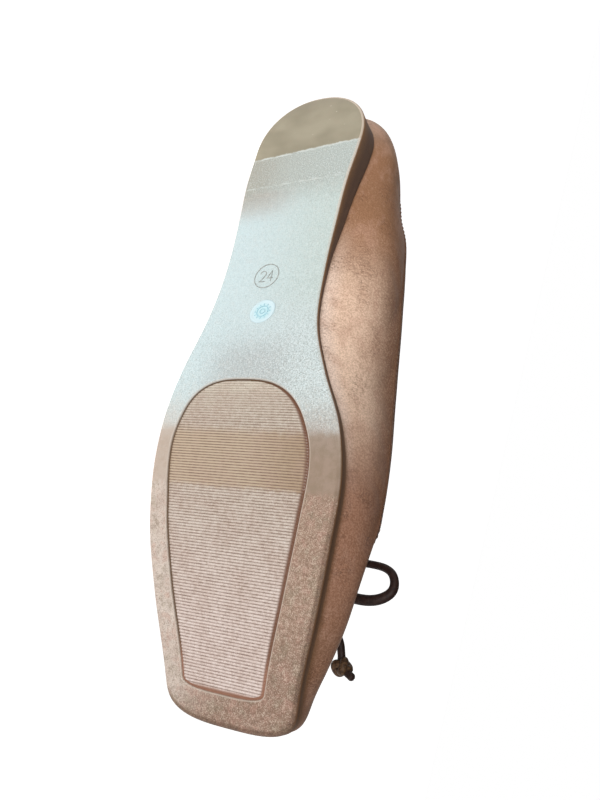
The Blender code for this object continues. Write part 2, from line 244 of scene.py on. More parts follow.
# The turn that lays the shoe down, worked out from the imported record's sole mount
mount = next(m for m in frame["record"]["mounts"] if m["name"] == "sole")
out = np.array(mount["axis"]) / np.linalg.norm(mount["axis"])
lean = out[0] / -out[2]
up_x = lean / math.sqrt(1.0 + lean * lean)
up = np.array((up_x, -math.sqrt(1.0 - up_x**2 - out[2] ** 2), -out[2]))
toe = np.array((1.0, 0.0, 0.0)) - up * up_x
toe /= np.linalg.norm(toe)
TURN = np.array((toe, np.cross(up, toe), up))
SHIFT = np.array(mount["pos_m"]) - TURN @ MOUNT_PLACE


def lay(points):
    return np.asarray(points) @ TURN.T + SHIFT


# Camera: the photograph's place and roll, turned on the spot to face the shoe
CAMERA_PLACE = np.array((0.2060, -0.1178, -0.2026))
CAMERA_DOWN = np.array((0.930, 0.000, 0.369))
CAMERA_TARGET = np.array((0.1330, -0.0120, 0.0120))
FOCAL_SHARE = 620.7 / 600.0
ZOOM = 1.06
SENSOR_WIDTH = 36.0


def add_object(name, data):
    obj = bpy.data.objects.new(name, data)
    bpy.context.scene.collection.objects.link(obj)
    return obj


def set_camera():
    place, target = lay(CAMERA_PLACE), lay(CAMERA_TARGET)
    ahead = Vector(target - place).normalized()
    down = Vector(TURN @ CAMERA_DOWN)
    down = (down - ahead * down.dot(ahead)).normalized()
    right = down.cross(ahead)
    camera = bpy.data.cameras.new("camera")
    camera.sensor_fit = "HORIZONTAL"
    camera.sensor_width = SENSOR_WIDTH
    camera.lens = SENSOR_WIDTH * FOCAL_SHARE * ZOOM
    camera.clip_start = 0.01
    camera.clip_end = 20.0
    obj = add_object("camera", camera)
    turn = Matrix((right, -down, -ahead)).transposed().to_4x4()
    obj.matrix_world = Matrix.Translation(place) @ turn
    bpy.context.scene.camera = obj


set_camera()


# Mesh building

def bridge(rings, count, closed=False):
    """Quads between neighbouring rings of equal length."""
    faces = []
    for r in range(rings if closed else rings - 1):
        a, b = r * count, (r + 1) % rings * count
        for i in range(count):
            j = (i + 1) % count
            faces.append((a + i, a + j, b + j, b + i))
    return faces


def strips(base, count):
    """Cross strips that fill the ring of count vertices starting at a vertex number."""
    half = count // 2
    faces = [(base, base + 1, base + count - 1)]
    for i in range(1, half - 1):
        faces.append((base + i, base + i + 1, base + count - i - 1, base + count - i))
    faces.append((base + half - 1, base + half, base + half + 1))
    return faces


def make_piece(name, points, faces, material, extra=None):
    """A piece shaped in the shoe's frame and laid down with it.

    The shoe-frame place of each vertex stays in the attribute shoe, for the materials.
    """
    points = np.asarray(points, dtype=float)
    mesh = bpy.data.meshes.new(name)
    mesh.from_pydata([tuple(p) for p in lay(points)], [], faces)
    place = mesh.attributes.new("shoe", "FLOAT_VECTOR", "POINT")
    place.data.foreach_set("vector", points.astype(np.float32).ravel())
    for label, values in (extra or {}).items():
        layer = mesh.attributes.new(label, "FLOAT", "POINT")
        layer.data.foreach_set("value", np.asarray(values, dtype=np.float32))
    work = bmesh.new()
    work.from_mesh(mesh)
    bmesh.ops.recalc_face_normals(work, faces=work.faces)
    work.to_mesh(mesh)
    work.free()
    mesh.shade_smooth()
    mesh.materials.append(material)
    obj = add_object(name, mesh)
    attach(obj, "root")
    return obj


def smooth_path(points, steps):
    """Catmull-Rom path through a few control points."""
    pts = [Vector(p) for p in points]
    pts = [2 * pts[0] - pts[1]] + pts + [2 * pts[-1] - pts[-2]]
    path = []
    for i in range(1, len(pts) - 2):
        a, b, c, d = pts[i - 1:i + 3]
        for s in range(steps):
            t = s / steps
            path.append(0.5 * (2 * b + (c - a) * t + (2 * a - 5 * b + 4 * c - d) * t**2
                               + (3 * b - a - 3 * c + d) * t**3))
    path.append(pts[-2])
    return np.array([tuple(p) for p in path])


def path_run(path):
    return np.concatenate(([0.0], np.cumsum(np.linalg.norm(np.diff(path, axis=0), axis=1))))


def path_frames(path, start_side):
    """Directions along a path with two side directions that turn as little as they can."""
    ahead = np.gradient(path, axis=0)
    ahead /= np.linalg.norm(ahead, axis=1)[:, None]
    side = np.asarray(start_side, dtype=float)
    sides = []
    for direction in ahead:
        side = side - direction * side.dot(direction)
        side /= np.linalg.norm(side)
        sides.append(side)
    sides = np.array(sides)
    return ahead, sides, np.cross(ahead, sides)


# Rounded ends of a tube, from the open end outwards: share of the radius, reach in radii
TUBE_CAPS = ((0.93, 0.20), (0.60, 0.576))


def tube(path, radius, sides=16, start_side=(0.0, 0.0, 1.0)):
    """Points and faces of a closed round tube; radius is a number or one number per point."""
    radius = np.broadcast_to(np.asarray(radius, dtype=float), (len(path),)).copy()
    ahead = path[1] - path[0]
    back = path[-1] - path[-2]
    ahead, back = ahead / np.linalg.norm(ahead), back / np.linalg.norm(back)
    head = [path[0] - ahead * radius[0] * reach for _, reach in TUBE_CAPS[::-1]]
    tail = [path[-1] + back * radius[-1] * reach for _, reach in TUBE_CAPS]
    path = np.concatenate((head, path, tail))
    radius = np.concatenate(([radius[0] * share for share, _ in TUBE_CAPS[::-1]], radius,
                             [radius[-1] * share for share, _ in TUBE_CAPS]))
    _, one, two = path_frames(path, start_side)
    angle = np.linspace(0.0, 2.0 * math.pi, sides, endpoint=False)
    points = (path[:, None, :] + radius[:, None, None]
              * (np.cos(angle)[None, :, None] * one[:, None, :]
                 + np.sin(angle)[None, :, None] * two[:, None, :])).reshape(-1, 3)
    faces = bridge(len(path), sides)
    faces.append(tuple(range(sides)))
    faces.append(tuple(range(len(points) - 1, len(points) - sides - 1, -1)))
    along = np.repeat(path_run(path), sides)
    return points, faces, along


def join_parts(parts):
    """Several (points, faces) as one."""
    points, faces, base = [], [], 0
    for pts, fcs in parts:
        points.append(pts)
        faces += [tuple(i + base for i in face) for face in fcs]
        base += len(pts)
    return np.concatenate(points), faces


# Materials

class Nodes:
    """A few short ways to write a node tree."""

    def __init__(self, name):
        self.material = bpy.data.materials.new(name)
        self.material.use_nodes = True
        self.tree = self.material.node_tree
        self.shader = self.tree.nodes["Principled BSDF"]

    def add(self, kind, **settings):
        node = self.tree.nodes.new(kind)
        for key, value in settings.items():
            setattr(node, key, value)
        return node

    def join(self, value, socket):
        if isinstance(value, bpy.types.NodeSocket):
            self.tree.links.new(value, socket)
        else:
            socket.default_value = value

    def math(self, operation, *values):
        node = self.add("ShaderNodeMath", operation=operation)
        for value, socket in zip(values, node.inputs):
            self.join(value, socket)
        return node.outputs[0]

    def times(self, first, *others):
        for other in others:
            first = self.math("MULTIPLY", first, other)
        return first

    def plus(self, first, *others):
        for other in others:
            first = self.math("ADD", first, other)
        return first

    def less(self, value, amount):
        return self.math("SUBTRACT", value, amount)

    def larger(self, one, other):
        return self.math("MAXIMUM", one, other)

    def gap(self, value, centre):
        """How far a value is from a centre, to either side."""
        return self.math("ABSOLUTE", self.less(value, centre))

    def ramp(self, value, low, high, to_low=0.0, to_high=1.0):
        node = self.add("ShaderNodeMapRange", clamp=True, interpolation_type="SMOOTHSTEP")
        self.join(value, node.inputs["Value"])
        for label, number in (("From Min", low), ("From Max", high),
                              ("To Min", to_low), ("To Max", to_high)):
            self.join(number, node.inputs[label])
        return node.outputs["Result"]

    def fade(self, value, low, high, share=1.0):
        """A ramp that falls from a share to nothing."""
        return self.ramp(value, low, high, share, 0.0)

    def mix(self, share, a, b, blend="MIX"):
        node = self.add("ShaderNodeMix", data_type="RGBA", blend_type=blend)
        self.join(share, node.inputs["Factor"])
        for value, label in ((a, "A"), (b, "B")):
            socket = next(s for s in node.inputs if s.name == label and s.type == "RGBA")
            self.join((*value, 1.0) if isinstance(value, tuple) else value, socket)
        return next(s for s in node.outputs if s.type == "RGBA")

    def stain(self, colour, tint, *shares):
        """A colour mixed with a tint by the product of some shares."""
        return self.mix(self.times(*shares), colour, tint)

    def place(self):
        """The shoe-frame place of the surface, in millimetres."""
        node = self.add("ShaderNodeAttribute", attribute_name="shoe")
        scale = self.add("ShaderNodeVectorMath", operation="SCALE")
        self.join(node.outputs["Vector"], scale.inputs[0])
        scale.inputs["Scale"].default_value = 1.0 / MM
        return scale.outputs["Vector"]

    def value(self, name):
        return self.add("ShaderNodeAttribute", attribute_name=name).outputs["Fac"]

    def plan(self, vector):
        """The place along the shoe and the place across it."""
        node = self.add("ShaderNodeSeparateXYZ")
        self.join(vector, node.inputs[0])
        return node.outputs["X"], node.outputs["Y"]

    def stretch(self, vector, scale):
        node = self.add("ShaderNodeVectorMath", operation="MULTIPLY")
        self.join(vector, node.inputs[0])
        node.inputs[1].default_value = scale
        return node.outputs["Vector"]

    def noise(self, vector, scale, detail=2.0, rough=0.5):
        node = self.add("ShaderNodeTexNoise")
        self.join(vector, node.inputs["Vector"])
        node.inputs["Scale"].default_value = scale
        node.inputs["Detail"].default_value = detail
        node.inputs["Roughness"].default_value = rough
        return node.outputs["Fac"]

    def cells(self, vector, scale):
        node = self.add("ShaderNodeTexVoronoi")
        self.join(vector, node.inputs["Vector"])
        node.inputs["Scale"].default_value = scale
        return node.outputs["Distance"]

    def bump(self, height, distance, strength=1.0, below=None):
        node = self.add("ShaderNodeBump")
        node.inputs["Strength"].default_value = strength
        node.inputs["Distance"].default_value = distance
        self.join(height, node.inputs["Height"])
        if below is not None:
            self.join(below, node.inputs["Normal"])
        return node.outputs["Normal"]

    def finish(self, colour, roughness, normal=None, **fixed):
        self.join(colour, self.shader.inputs["Base Color"])
        self.join(roughness, self.shader.inputs["Roughness"])
        if normal is not None:
            self.join(normal, self.shader.inputs["Normal"])
        for label, number in fixed.items():
            self.shader.inputs[label.replace("_", " ")].default_value = number
        return self.material


STUDIO = 0.62
ASLANT = 0.84


def tone(red, green, blue, share=STUDIO):
    """Linear colour that looks as given on screen, 0 to 255, when the studio light faces it."""
    return tuple(share * ((c / 255.0 + 0.055) / 1.055) ** 2.4 for c in (red, green, blue))


def suede(red, green, blue):
    """The same for the upper, which the light meets aslant."""
    return tone(red, green, blue, ASLANT)


# Glossy bands across the sole, in millimetres along the shoe, and how much they slant per
# millimetre towards the outer side
HEEL_BAND_END = 26.8
HEEL_BAND_SLANT = 0.075
HEEL_LINE = 41.8
HEEL_LINE_SLANT = 0.045
BALL_BAND = (150.0, 170.5)

# Where looks change along the shoe, in millimetres: where a change starts and where it is done
BLOOM_AND_REFLECTION_ENDS = (134.0, 168.0)
GREY_STARTS = (104.0, 122.0)
REFLECTION_PALES = (86.0, 108.0)
TOE_BROWNS = (222.0, 247.0)
GRAIN_DEEPENS = (100.0, 176.0)
BLOTCHES_START = (134.0, 176.0)
SAND_THICKENS = (78.0, 124.0)
WALL_BROWNS = (105.0, 160.0)
EDGE_SHADE_START = (150.0, 192.0)
TOE_EDGE_SHADE_START = (238.0, 246.0)
CORNER_DULLS = (40.0, 90.0)
CORNER_ENDS = (140.0, 165.0)
FLOOR_PALES = (150.0, 235.0)
FLOOR_REAR = (131.0, 136.0)
DIRT_AND_SHADE_DEEPENS = (134.0, 152.0)
GROOVE_ROSY = (226.0, 234.0)
GROOVE_PALES = (222.0, 232.0)

HIGHLIGHT_STARTS = (50.0, 100.0)
HIGHLIGHT_ENDS = (128.0, 174.0)
VAMP_STARTS = (110.0, 150.0)
TOE_STARTS = (188.0, 222.0)
SHADE_LOWERS = (138.0, 172.0)
HEEL_DULLS = (-3.0, 24.0)
HEEL_PALES = (-4.0, 22.0)
NAP_STARTS = (28.0, 84.0)
FOOT_DARKENS = (120.0, 165.0)
THROAT_DARKENS = (158.0, 172.0)

# Turn of the woven cloth's threads per millimetre
WEAVE = 6.4


def sole_material():
    n = Nodes("sole_rubber")
    place = n.place()
    x, y = n.plan(place)
    uneven = n.less(n.noise(place, 0.45, 3.0, 0.7), 0.5)
    wander = n.times(uneven, 1.5)
    heel_x = n.plus(n.less(x, n.times(y, HEEL_BAND_SLANT)), wander)
    line_x = n.plus(n.less(x, n.times(y, HEEL_LINE_SLANT)), wander)

    heel_band = n.fade(heel_x, HEEL_BAND_END - 0.4, HEEL_BAND_END + 0.2)
    band_x = n.plus(x, n.times(uneven, 5.0))
    ball_band = n.times(n.ramp(band_x, BALL_BAND[0] - 3.2, BALL_BAND[0] + 1.6),
                        n.fade(band_x, BALL_BAND[1] - 1.4, BALL_BAND[1] + 1.4))
    glossy = n.larger(heel_band, n.times(ball_band, 0.85))
    frosted = n.less(1.0, glossy)

    # Frosted bloom with a painted reflection of pale bluish sky: full over the waist, fading on the
    # inner side first, then all round the toe
    centre_line = n.fade(n.gap(y, 2.0), 0.0, 20.0)
    front_x = n.plus(x, n.times(centre_line, 12.0), n.times(n.noise(place, 0.12, 3.0), 10.0))
    waist = n.fade(front_x, *BLOOM_AND_REFLECTION_ENDS)
    grey = n.times(n.ramp(x, *GREY_STARTS), n.fade(n.gap(y, 7.0), 6.0, 26.0))
    between = n.fade(line_x, HEEL_LINE - 2.0, HEEL_LINE + 13.0)
    outer = n.ramp(y, -24.0, 24.0)
    # Lighter towards the outer side and darker towards the inner side, partly painted light falling
    # from the outer side
    colour = n.mix(outer, tone(166, 135, 113), tone(222, 208, 197))
    toe_x = n.less(x, n.times(y, 0.60))
    colour = n.mix(n.ramp(toe_x, *TOE_BROWNS, 0.0, 0.95), colour, tone(147, 114, 92))
    cloud = n.noise(place, 0.10, 3.0)
    colour = n.mix(n.ramp(cloud, 0.35, 0.70, 0.0, 0.35), colour, tone(168, 136, 118))
    # The pale bluish colour over the waist is a painted reflection of sky on the frosted rubber
    inner_reflection = n.mix(n.ramp(x, *REFLECTION_PALES), tone(206, 222, 218), tone(216, 230, 231))
    colour = n.mix(waist, colour, n.mix(outer, inner_reflection, tone(214, 233, 237)))
    colour = n.stain(colour, tone(190, 197, 198), grey, waist, 0.8)
    colour = n.mix(between, colour, n.mix(outer, tone(190, 200, 195), tone(184, 189, 182)))
    colour = n.stain(colour, tone(186, 176, 168), n.ramp(line_x, HEEL_LINE + 1.0, HEEL_LINE + 4.0),
                     n.fade(line_x, HEEL_LINE + 8.0, HEEL_LINE + 17.0), n.ramp(y, -4.0, 14.0), 0.5)
    colour = n.stain(colour, tone(168, 162, 147), between, n.ramp(y, 2.0, 24.0, 0.0, 0.60))
    heel_smear = n.ramp(n.noise(n.stretch(place, (0.09, 0.06, 0.09)), 1.0, 2.0, 0.45), 0.32, 0.68)
    heel_tone = n.mix(heel_smear, tone(152, 143, 120), tone(171, 162, 139))
    heel_tone = n.mix(n.fade(x, 1.0, 9.0, 0.6), heel_tone, tone(150, 140, 120))
    colour = n.mix(heel_band, colour, heel_tone)

    specks = n.fade(n.cells(n.stretch(place, (1.0, 0.6, 1.0)), 0.34), 0.05, 0.13)
    specks = n.times(specks, n.ramp(n.noise(place, 0.22), 0.50, 0.62))
    colour = n.stain(colour, tone(222, 216, 200), specks, heel_band, 0.75)

    # Rosy and olive mottling, then a fine sandy grain with pale tips; the pale flecks are partly
    # painted glints of glitter in the rubber
    mottle = n.noise(place, 0.26, 3.0, 0.6)
    depth = n.ramp(x, *GRAIN_DEEPENS, 0.36, 1.0)
    blotchy = n.ramp(x, *BLOTCHES_START, 0.10, 1.0)
    colour = n.stain(colour, tone(190, 146, 128), n.ramp(mottle, 0.50, 0.66, 0.0, 0.42), blotchy)
    colour = n.stain(colour, tone(150, 134, 110), n.fade(mottle, 0.34, 0.48, 0.42), blotchy)
    coarse = n.noise(place, 0.7, 2.0, 0.5)
    grain = n.plus(n.times(n.noise(place, 2.5, 2.0, 0.65), 0.72), n.times(coarse, 0.28))
    pits = n.times(n.fade(grain, 0.35, 0.53), frosted)
    shade = n.mix(1.0, colour, n.mix(waist, (0.52, 0.46, 0.41), (0.66, 0.68, 0.68)), "MULTIPLY")
    colour = n.stain(colour, shade, pits, n.times(depth, 0.80))
    flecks = n.times(n.ramp(grain, 0.49, 0.64), n.times(frosted, depth))
    colour = n.stain(colour, tone(240, 222, 204), flecks, 0.46)

    sand = n.noise(place, 2.0, 2.0, 0.6)
    sand_reach = n.larger(n.ramp(x, *SAND_THICKENS, 0.40, 1.0), n.times(between, 0.66))
    sandy = n.times(waist, frosted, sand_reach, n.ramp(y, -14.0, 14.0, 1.0, 0.62))
    colour = n.stain(colour, tone(160, 165, 162), n.fade(sand, 0.34, 0.50, 0.75), sandy)
    colour = n.stain(colour, tone(238, 248, 250), n.ramp(sand, 0.50, 0.64, 0.0, 0.80), sandy)

    # Smooth band that the ball of the foot has polished, lighter towards the outer side, partly painted
    # light
    band_tone = n.mix(n.ramp(mottle, 0.36, 0.64),
                      n.mix(outer, tone(150, 129, 108), tone(190, 171, 155)),
                      n.mix(outer, tone(162, 141, 123), tone(194, 178, 164)))
    colour = n.stain(colour, band_tone, ball_band, n.ramp(grain, 0.36, 0.62, 0.93, 0.76))

    # Pale worn lines where the bands end
    heel_line = n.fade(n.gap(heel_x, HEEL_BAND_END), 0.15, 0.70)
    second_line = n.fade(n.gap(line_x, HEEL_LINE), 0.10, 0.45)
    worn = n.ramp(n.noise(n.stretch(place, (0.5, 0.16, 0.5)), 1.0, 3.0), 0.38, 0.58, 0.15, 0.85)
    lines = n.larger(heel_line, n.times(second_line, 0.7))
    colour = n.stain(colour, tone(228, 234, 230), lines, worn)

    # Side wall: dark at heel and waist, browner and softer round the forefoot; painted shade on the
    # rounded edge and a painted highlight at its corner
    wall = n.value("wall")
    heel_wall = n.mix(n.ramp(wall, 0.9, 1.6), tone(160, 120, 86), tone(122, 94, 77))
    fore_wall = n.mix(n.ramp(wall, 1.4, 2.0), tone(116, 82, 54), tone(132, 96, 68))
    wall_tone = n.mix(n.ramp(x, *WALL_BROWNS), heel_wall, fore_wall)
    verge = n.value("verge")
    inner_edge = n.fade(y, -12.0, 12.0)
    # Painted shade on the rounded edge along the inner side and round the toe, from the ball forwards
    edge_shade = n.times(n.ramp(verge, 0.12, 0.90), n.larger(inner_edge, n.ramp(x, *TOE_EDGE_SHADE_START)),
                      n.ramp(x, *EDGE_SHADE_START, 0.0, 0.90))
    colour = n.mix(edge_shade, colour, (0.47, 0.37, 0.27), "MULTIPLY")
    # Painted highlight along the corner of the rounded edge on the inner side, weaker past the heel,
    # gone at the ball
    colour = n.stain(colour, tone(232, 212, 194), n.ramp(verge, 0.97, 1.0),
                     n.ramp(x, *CORNER_DULLS, 0.60, 0.16),
                     n.times(inner_edge, n.fade(x, *CORNER_ENDS)))
    wall_share = n.ramp(inner_edge, 0.0, 1.0, n.ramp(wall, 0.45, 0.95), n.ramp(wall, 0.04, 0.40))
    colour = n.mix(wall_share, colour, wall_tone)

    # Ribs: pale broad crests with thin dirt and painted shade between, deeper where the band is
    # polished, and stronger towards the inner side as painted shadow of the rib ends
    panel = n.value("panel")
    inner = n.fade(y, -26.0, 2.0)
    floor_tone = n.mix(n.ramp(x, *FLOOR_PALES), tone(210, 196, 180), tone(238, 219, 212))
    # In the polished band the floor is browner and darker towards the inner side, partly painted shade
    # near the groove
    polished = n.mix(inner, tone(200, 177, 150), tone(172, 143, 110))
    floor_tone = n.stain(floor_tone, polished, ball_band, 0.85)
    # Painted highlight just inside the panel's rear edge
    floor_tone = n.mix(n.fade(x, *FLOOR_REAR, 0.5), floor_tone, tone(236, 228, 210))
    floor_tone = n.mix(n.ramp(cloud, 0.40, 0.66, 0.0, 0.28), floor_tone, tone(192, 162, 146))
    floor_tone = n.stain(floor_tone, tone(159, 134, 116), pits, 0.50)
    # Pale flecks on the floor too, partly painted glints
    floor_tone = n.stain(floor_tone, tone(248, 240, 232), flecks, 0.45)
    colour = n.mix(panel, colour, floor_tone)
    colour = n.stain(colour, tone(116, 86, 68), n.fade(n.value("rib"), 0.10, 0.62), panel,
                     n.ramp(ball_band, 0.0, 1.0, 0.80, 0.92),
                     n.ramp(n.plus(inner, n.ramp(x, *DIRT_AND_SHADE_DEEPENS)), 0.0, 1.0, 0.62, 1.0),
                     n.ramp(coarse, 0.36, 0.64, 1.0, 0.70))
    # Groove colour: dark brown dirt and painted shade, rosier on the inner side and round the toe
    rosy = n.larger(n.fade(y, -16.0, 4.0), n.ramp(x, *GROOVE_ROSY))
    groove_tone = n.mix(rosy, tone(98, 68, 35), tone(116, 72, 44))
    groove_tone = n.mix(n.ramp(x, *GROOVE_PALES), groove_tone, tone(156, 108, 84))
    colour = n.mix(n.ramp(n.value("groove"), 0.0, 0.85), colour, groove_tone)
    # Painted highlight on the pale bead along the groove's outer edge
    colour = n.stain(colour, tone(228, 214, 200), n.value("bead"), 0.55)

    roughness = n.larger(n.ramp(glossy, 0.0, 1.0, 0.52, 0.36), n.ramp(wall, 0.1, 0.9, 0.0, 0.78))
    roughness = n.plus(roughness, n.times(n.less(grain, 0.5), 0.25))
    low = n.bump(n.noise(place, 0.06, 2.0), 0.0006, 0.6)
    fine = n.bump(n.times(grain, frosted), 0.00030, 1.0, low)
    return n.finish(colour, roughness, fine, Specular_IOR_Level=0.5)


def suede_material(name, darken=0.0):
    n = Nodes(name)
    place = n.place()
    x, y = n.plan(place)
    rise = n.value("rise")

    # Painted highlight low on the waist, deeper brown towards heel, toe and topline: towards the
    # topline painted shade, towards the toe partly painted shade
    pale = n.times(n.ramp(x, *HIGHLIGHT_STARTS), n.fade(x, *HIGHLIGHT_ENDS))
    toe_share = n.ramp(x, *TOE_STARTS)
    fore = n.mix(toe_share, suede(196, 148, 122), suede(161, 122, 99))
    colour = n.mix(n.ramp(x, *VAMP_STARTS), suede(166, 124, 94), fore)
    colour = n.mix(n.fade(x, *HEEL_DULLS, 0.60), colour, suede(150, 134, 120))
    colour = n.mix(pale, colour, suede(249, 218, 194))
    # Brighter painted highlight just above the sole's edge on the waist
    colour = n.stain(colour, suede(254, 236, 226), n.fade(rise, 0.02, 0.20, 0.55), pale)
    # Painted shade darkening the suede towards the topline, weaker on the outer side
    topline_shade = n.ramp(x, *SHADE_LOWERS, n.ramp(rise, 0.30, 0.88, 0.0, 0.92),
                  n.ramp(rise, 0.12, 0.72, 0.0, 0.92))
    topline_shade = n.times(topline_shade, n.ramp(y, -8.0, 24.0, 1.0, 0.30))
    shade_tone = n.mix(toe_share, suede(144, 104, 80), suede(140, 103, 83))
    colour = n.mix(topline_shade, colour, n.mix(pale, shade_tone, suede(147, 106, 80)))
    colour = n.mix(n.fade(x, *HEEL_PALES, 0.42), colour, suede(196, 178, 164))
    cloud = n.noise(place, 0.045, 3.0, 0.55)
    colour = n.mix(n.ramp(cloud, 0.46, 0.70, 0.0, 0.30), colour, suede(176, 128, 100))
    patch = n.noise(n.stretch(place, (1.0, 1.0, 1.4)), 0.13, 3.0, 0.6)
    # Patches darken with the painted shade
    patch_tone = n.mix(topline_shade, suede(206, 164, 142), suede(166, 124, 106))
    colour = n.mix(n.ramp(patch, 0.48, 0.66, 0.0, 0.34), colour, patch_tone)

    # Short nap: fine soft mottling with a few brighter tips, partly painted glints, stronger within the
    # painted highlight
    nap = n.noise(n.stretch(place, (1.0, 1.0, 0.7)), 1.5, 4.0, 0.70)
    shade = n.mix(1.0, colour, (0.66, 0.61, 0.58), "MULTIPLY")
    colour = n.stain(colour, shade, n.fade(nap, 0.38, 0.60, 0.75), n.ramp(x, *NAP_STARTS, 0.35, 1.0))
    colour = n.stain(colour, suede(240, 208, 184), n.ramp(nap, 0.52, 0.68),
                     n.ramp(pale, 0.0, 1.0, 0.10, 0.28))
    crinkle = n.noise(n.stretch(place, (0.75, 0.22, 0.22)), 1.0, 3.0, 0.6)
    line = n.times(n.fade(n.gap(crinkle, 0.5), 0.0, 0.028),
                   n.ramp(n.noise(place, 0.09, 2.0), 0.48, 0.62))
    colour = n.stain(colour, suede(120, 84, 64), line, 0.35)
    # Painted shadow on the upper's foot where it meets the sole, wider from the forefoot forwards
    foot = n.ramp(x, *FOOT_DARKENS, n.fade(rise, 0.0, 0.035, 0.50), n.fade(rise, 0.0, 0.075, 0.80))
    colour = n.mix(foot, colour, suede(118, 86, 60))
    if darken:
        colour = n.mix(darken, colour, suede(84, 60, 48))
        colour = n.mix(n.ramp(x, *THROAT_DARKENS, 0.0, 0.85), colour, suede(52, 36, 36))
    normal = n.bump(n.less(nap, n.times(line, 0.6)), 0.00022, 0.9)
    return n.finish(colour, n.ramp(nap, 0.3, 0.7, 0.50, 0.64), normal,
                    Metallic=0.20, Specular_IOR_Level=0.10)


def plain_woven(name, light, dark):
    n = Nodes(name)
    place = n.place()
    weave = n.times(*(n.math("SINE", n.times(at, WEAVE)) for at in n.plan(place)))
    colour = n.mix(n.ramp(n.noise(place, 0.3, 4.0, 0.6), 0.3, 0.7), light, dark)
    normal = n.bump(n.plus(n.times(weave, 0.3), n.noise(place, 2.5, 3.0)), 0.00018, 0.8)
    return n.finish(colour, 0.82, normal, Sheen_Weight=0.2)


def cord_material(name, dark, light, edge):
    n = Nodes(name)
    along = n.times(n.value("along"), 1.0 / MM)
    wrinkle = n.noise(n.place(), 1.1, 4.0, 0.65)
    colour = n.mix(n.ramp(wrinkle, 0.35, 0.65), dark, light)
    rings = n.math("SINE", n.plus(n.times(along, 1.9), n.times(wrinkle, 9.0)))
    colour = n.mix(n.ramp(rings, 0.60, 1.0, 0.0, 0.22), colour, edge)
    normal = n.bump(n.plus(wrinkle, n.times(rings, 0.12)), 0.00018, 0.8)
    return n.finish(colour, 0.55, normal, Specular_IOR_Level=0.18)


def thread_material():
    n = Nodes("thread")
    twist = n.noise(n.place(), 4.0, 2.0)
    colour = n.mix(twist, tone(104, 78, 62), tone(138, 108, 88))
    return n.finish(colour, 0.6, n.bump(twist, 0.0001, 0.6))


sole_rubber = sole_material()
upper_suede = suede_material("upper_suede")
topline_suede = suede_material("topline_suede", 0.75)
lining_cloth = plain_woven("lining_cloth", tone(206, 184, 160), tone(186, 162, 138))
insole_cloth = plain_woven("insole_cloth", tone(198, 172, 146), tone(176, 148, 122))
bow_cord = cord_material("bow_cord", tone(34, 20, 17), tone(52, 32, 26), tone(74, 52, 42))
# The end knots get a lighter copy of the cord's leather, a painted highlight
knot_cord_lit = cord_material("knot_cord_lit", tone(56, 37, 24), tone(106, 80, 56), tone(128, 100, 72))
thread = thread_material()


# Bow: cords first, since their route is the part's own

LOOP_POINTS = (
    (-0.030, 0.090, 0.000),
    (-0.066, 0.400, 0.040),
    (-0.068, 0.780, 0.020),
    (-0.030, 0.945, -0.015),
    (0.062, 1.005, -0.040),
    (0.155, 0.985, -0.062),
    (0.225, 0.870, -0.075),
    (0.238, 0.690, -0.070),
    (0.190, 0.380, -0.055),
    (0.040, 0.090, -0.015),
)
TAIL_POINTS = (
    (0.112, 0.030, -0.040),
    (0.280, 0.260, -0.055),
    (0.470, 0.480, -0.050),
    (0.593, 0.585, -0.050),
    (0.702, 0.619, -0.045),
    (0.799, 0.640, -0.045),
    (0.864, 0.736, -0.050),
)
END_KNOT_SHARE = 0.89
END_KNOT_SIZE = 0.00124
END_KNOT_CORD = 0.00155
LOOP_SWELL = 0.38
KNOT_TURNS = 2.2
KNOT_PITCH = 0.0023


def bow_points(points, side):
    aside = side * (OUTER_SIDE_SHARE if side > 0 else 1.0)
    return [BOW_CENTRE + BOW_REACH * np.array((ahead, aside * out, up))
            for ahead, out, up in points]


def frame_at(path, share):
    """Point of a path at a share of its length, with its heading and two side directions."""
    run = path_run(path)
    at = share * run[-1]
    point = np.array([np.interp(at, run, path[:, i]) for i in range(3)])
    ahead, one, two = path_frames(path, (0.0, 0.0, 1.0))
    i = int(np.searchsorted(run, at)) - 1
    return point, ahead[i], one[i], two[i]


def end_knot(label, path):
    """An overhand knot pulled tight round the tail, with the cut end's loose fibres."""
    point, ahead, one, two = frame_at(path, END_KNOT_SHARE)
    t = np.linspace(0.0, 2.0 * math.pi, 97)
    across = np.sin(t) + 2.0 * np.sin(2.0 * t)
    upward = np.cos(t) - 2.0 * np.cos(2.0 * t)
    length = -np.sin(3.0 * t)
    line = (point + END_KNOT_SIZE * (across[:, None] * one * 0.72 + upward[:, None] * two * 0.72
                                     + length[:, None] * ahead * 1.25))
    parts = [tube(line[:-1], END_KNOT_CORD, 12, ahead)[:2]]
    last, heading, side_one, side_two = frame_at(path, 0.999)
    for k in range(9):
        angle = 2.4 * k
        spread = 0.2 + 0.6 * ((k * 7) % 9) / 9.0
        away = math.cos(angle) * side_one + math.sin(angle) * side_two
        root = last + away * CORD_RADIUS * 0.55 * spread - heading * 0.0004
        hair = np.array([root + heading * s * (0.0010 + 0.0005 * spread)
                         + away * 0.0004 * spread * s * s for s in (0.0, 0.35, 0.7, 1.0)])
        parts.append(tube(hair, np.array((0.00024, 0.0002, 0.00015, 0.0001)), 5, away)[:2])
    points, faces = join_parts(parts)
    return make_piece(f"bow_end_{label}_knot", points, faces, knot_cord_lit)


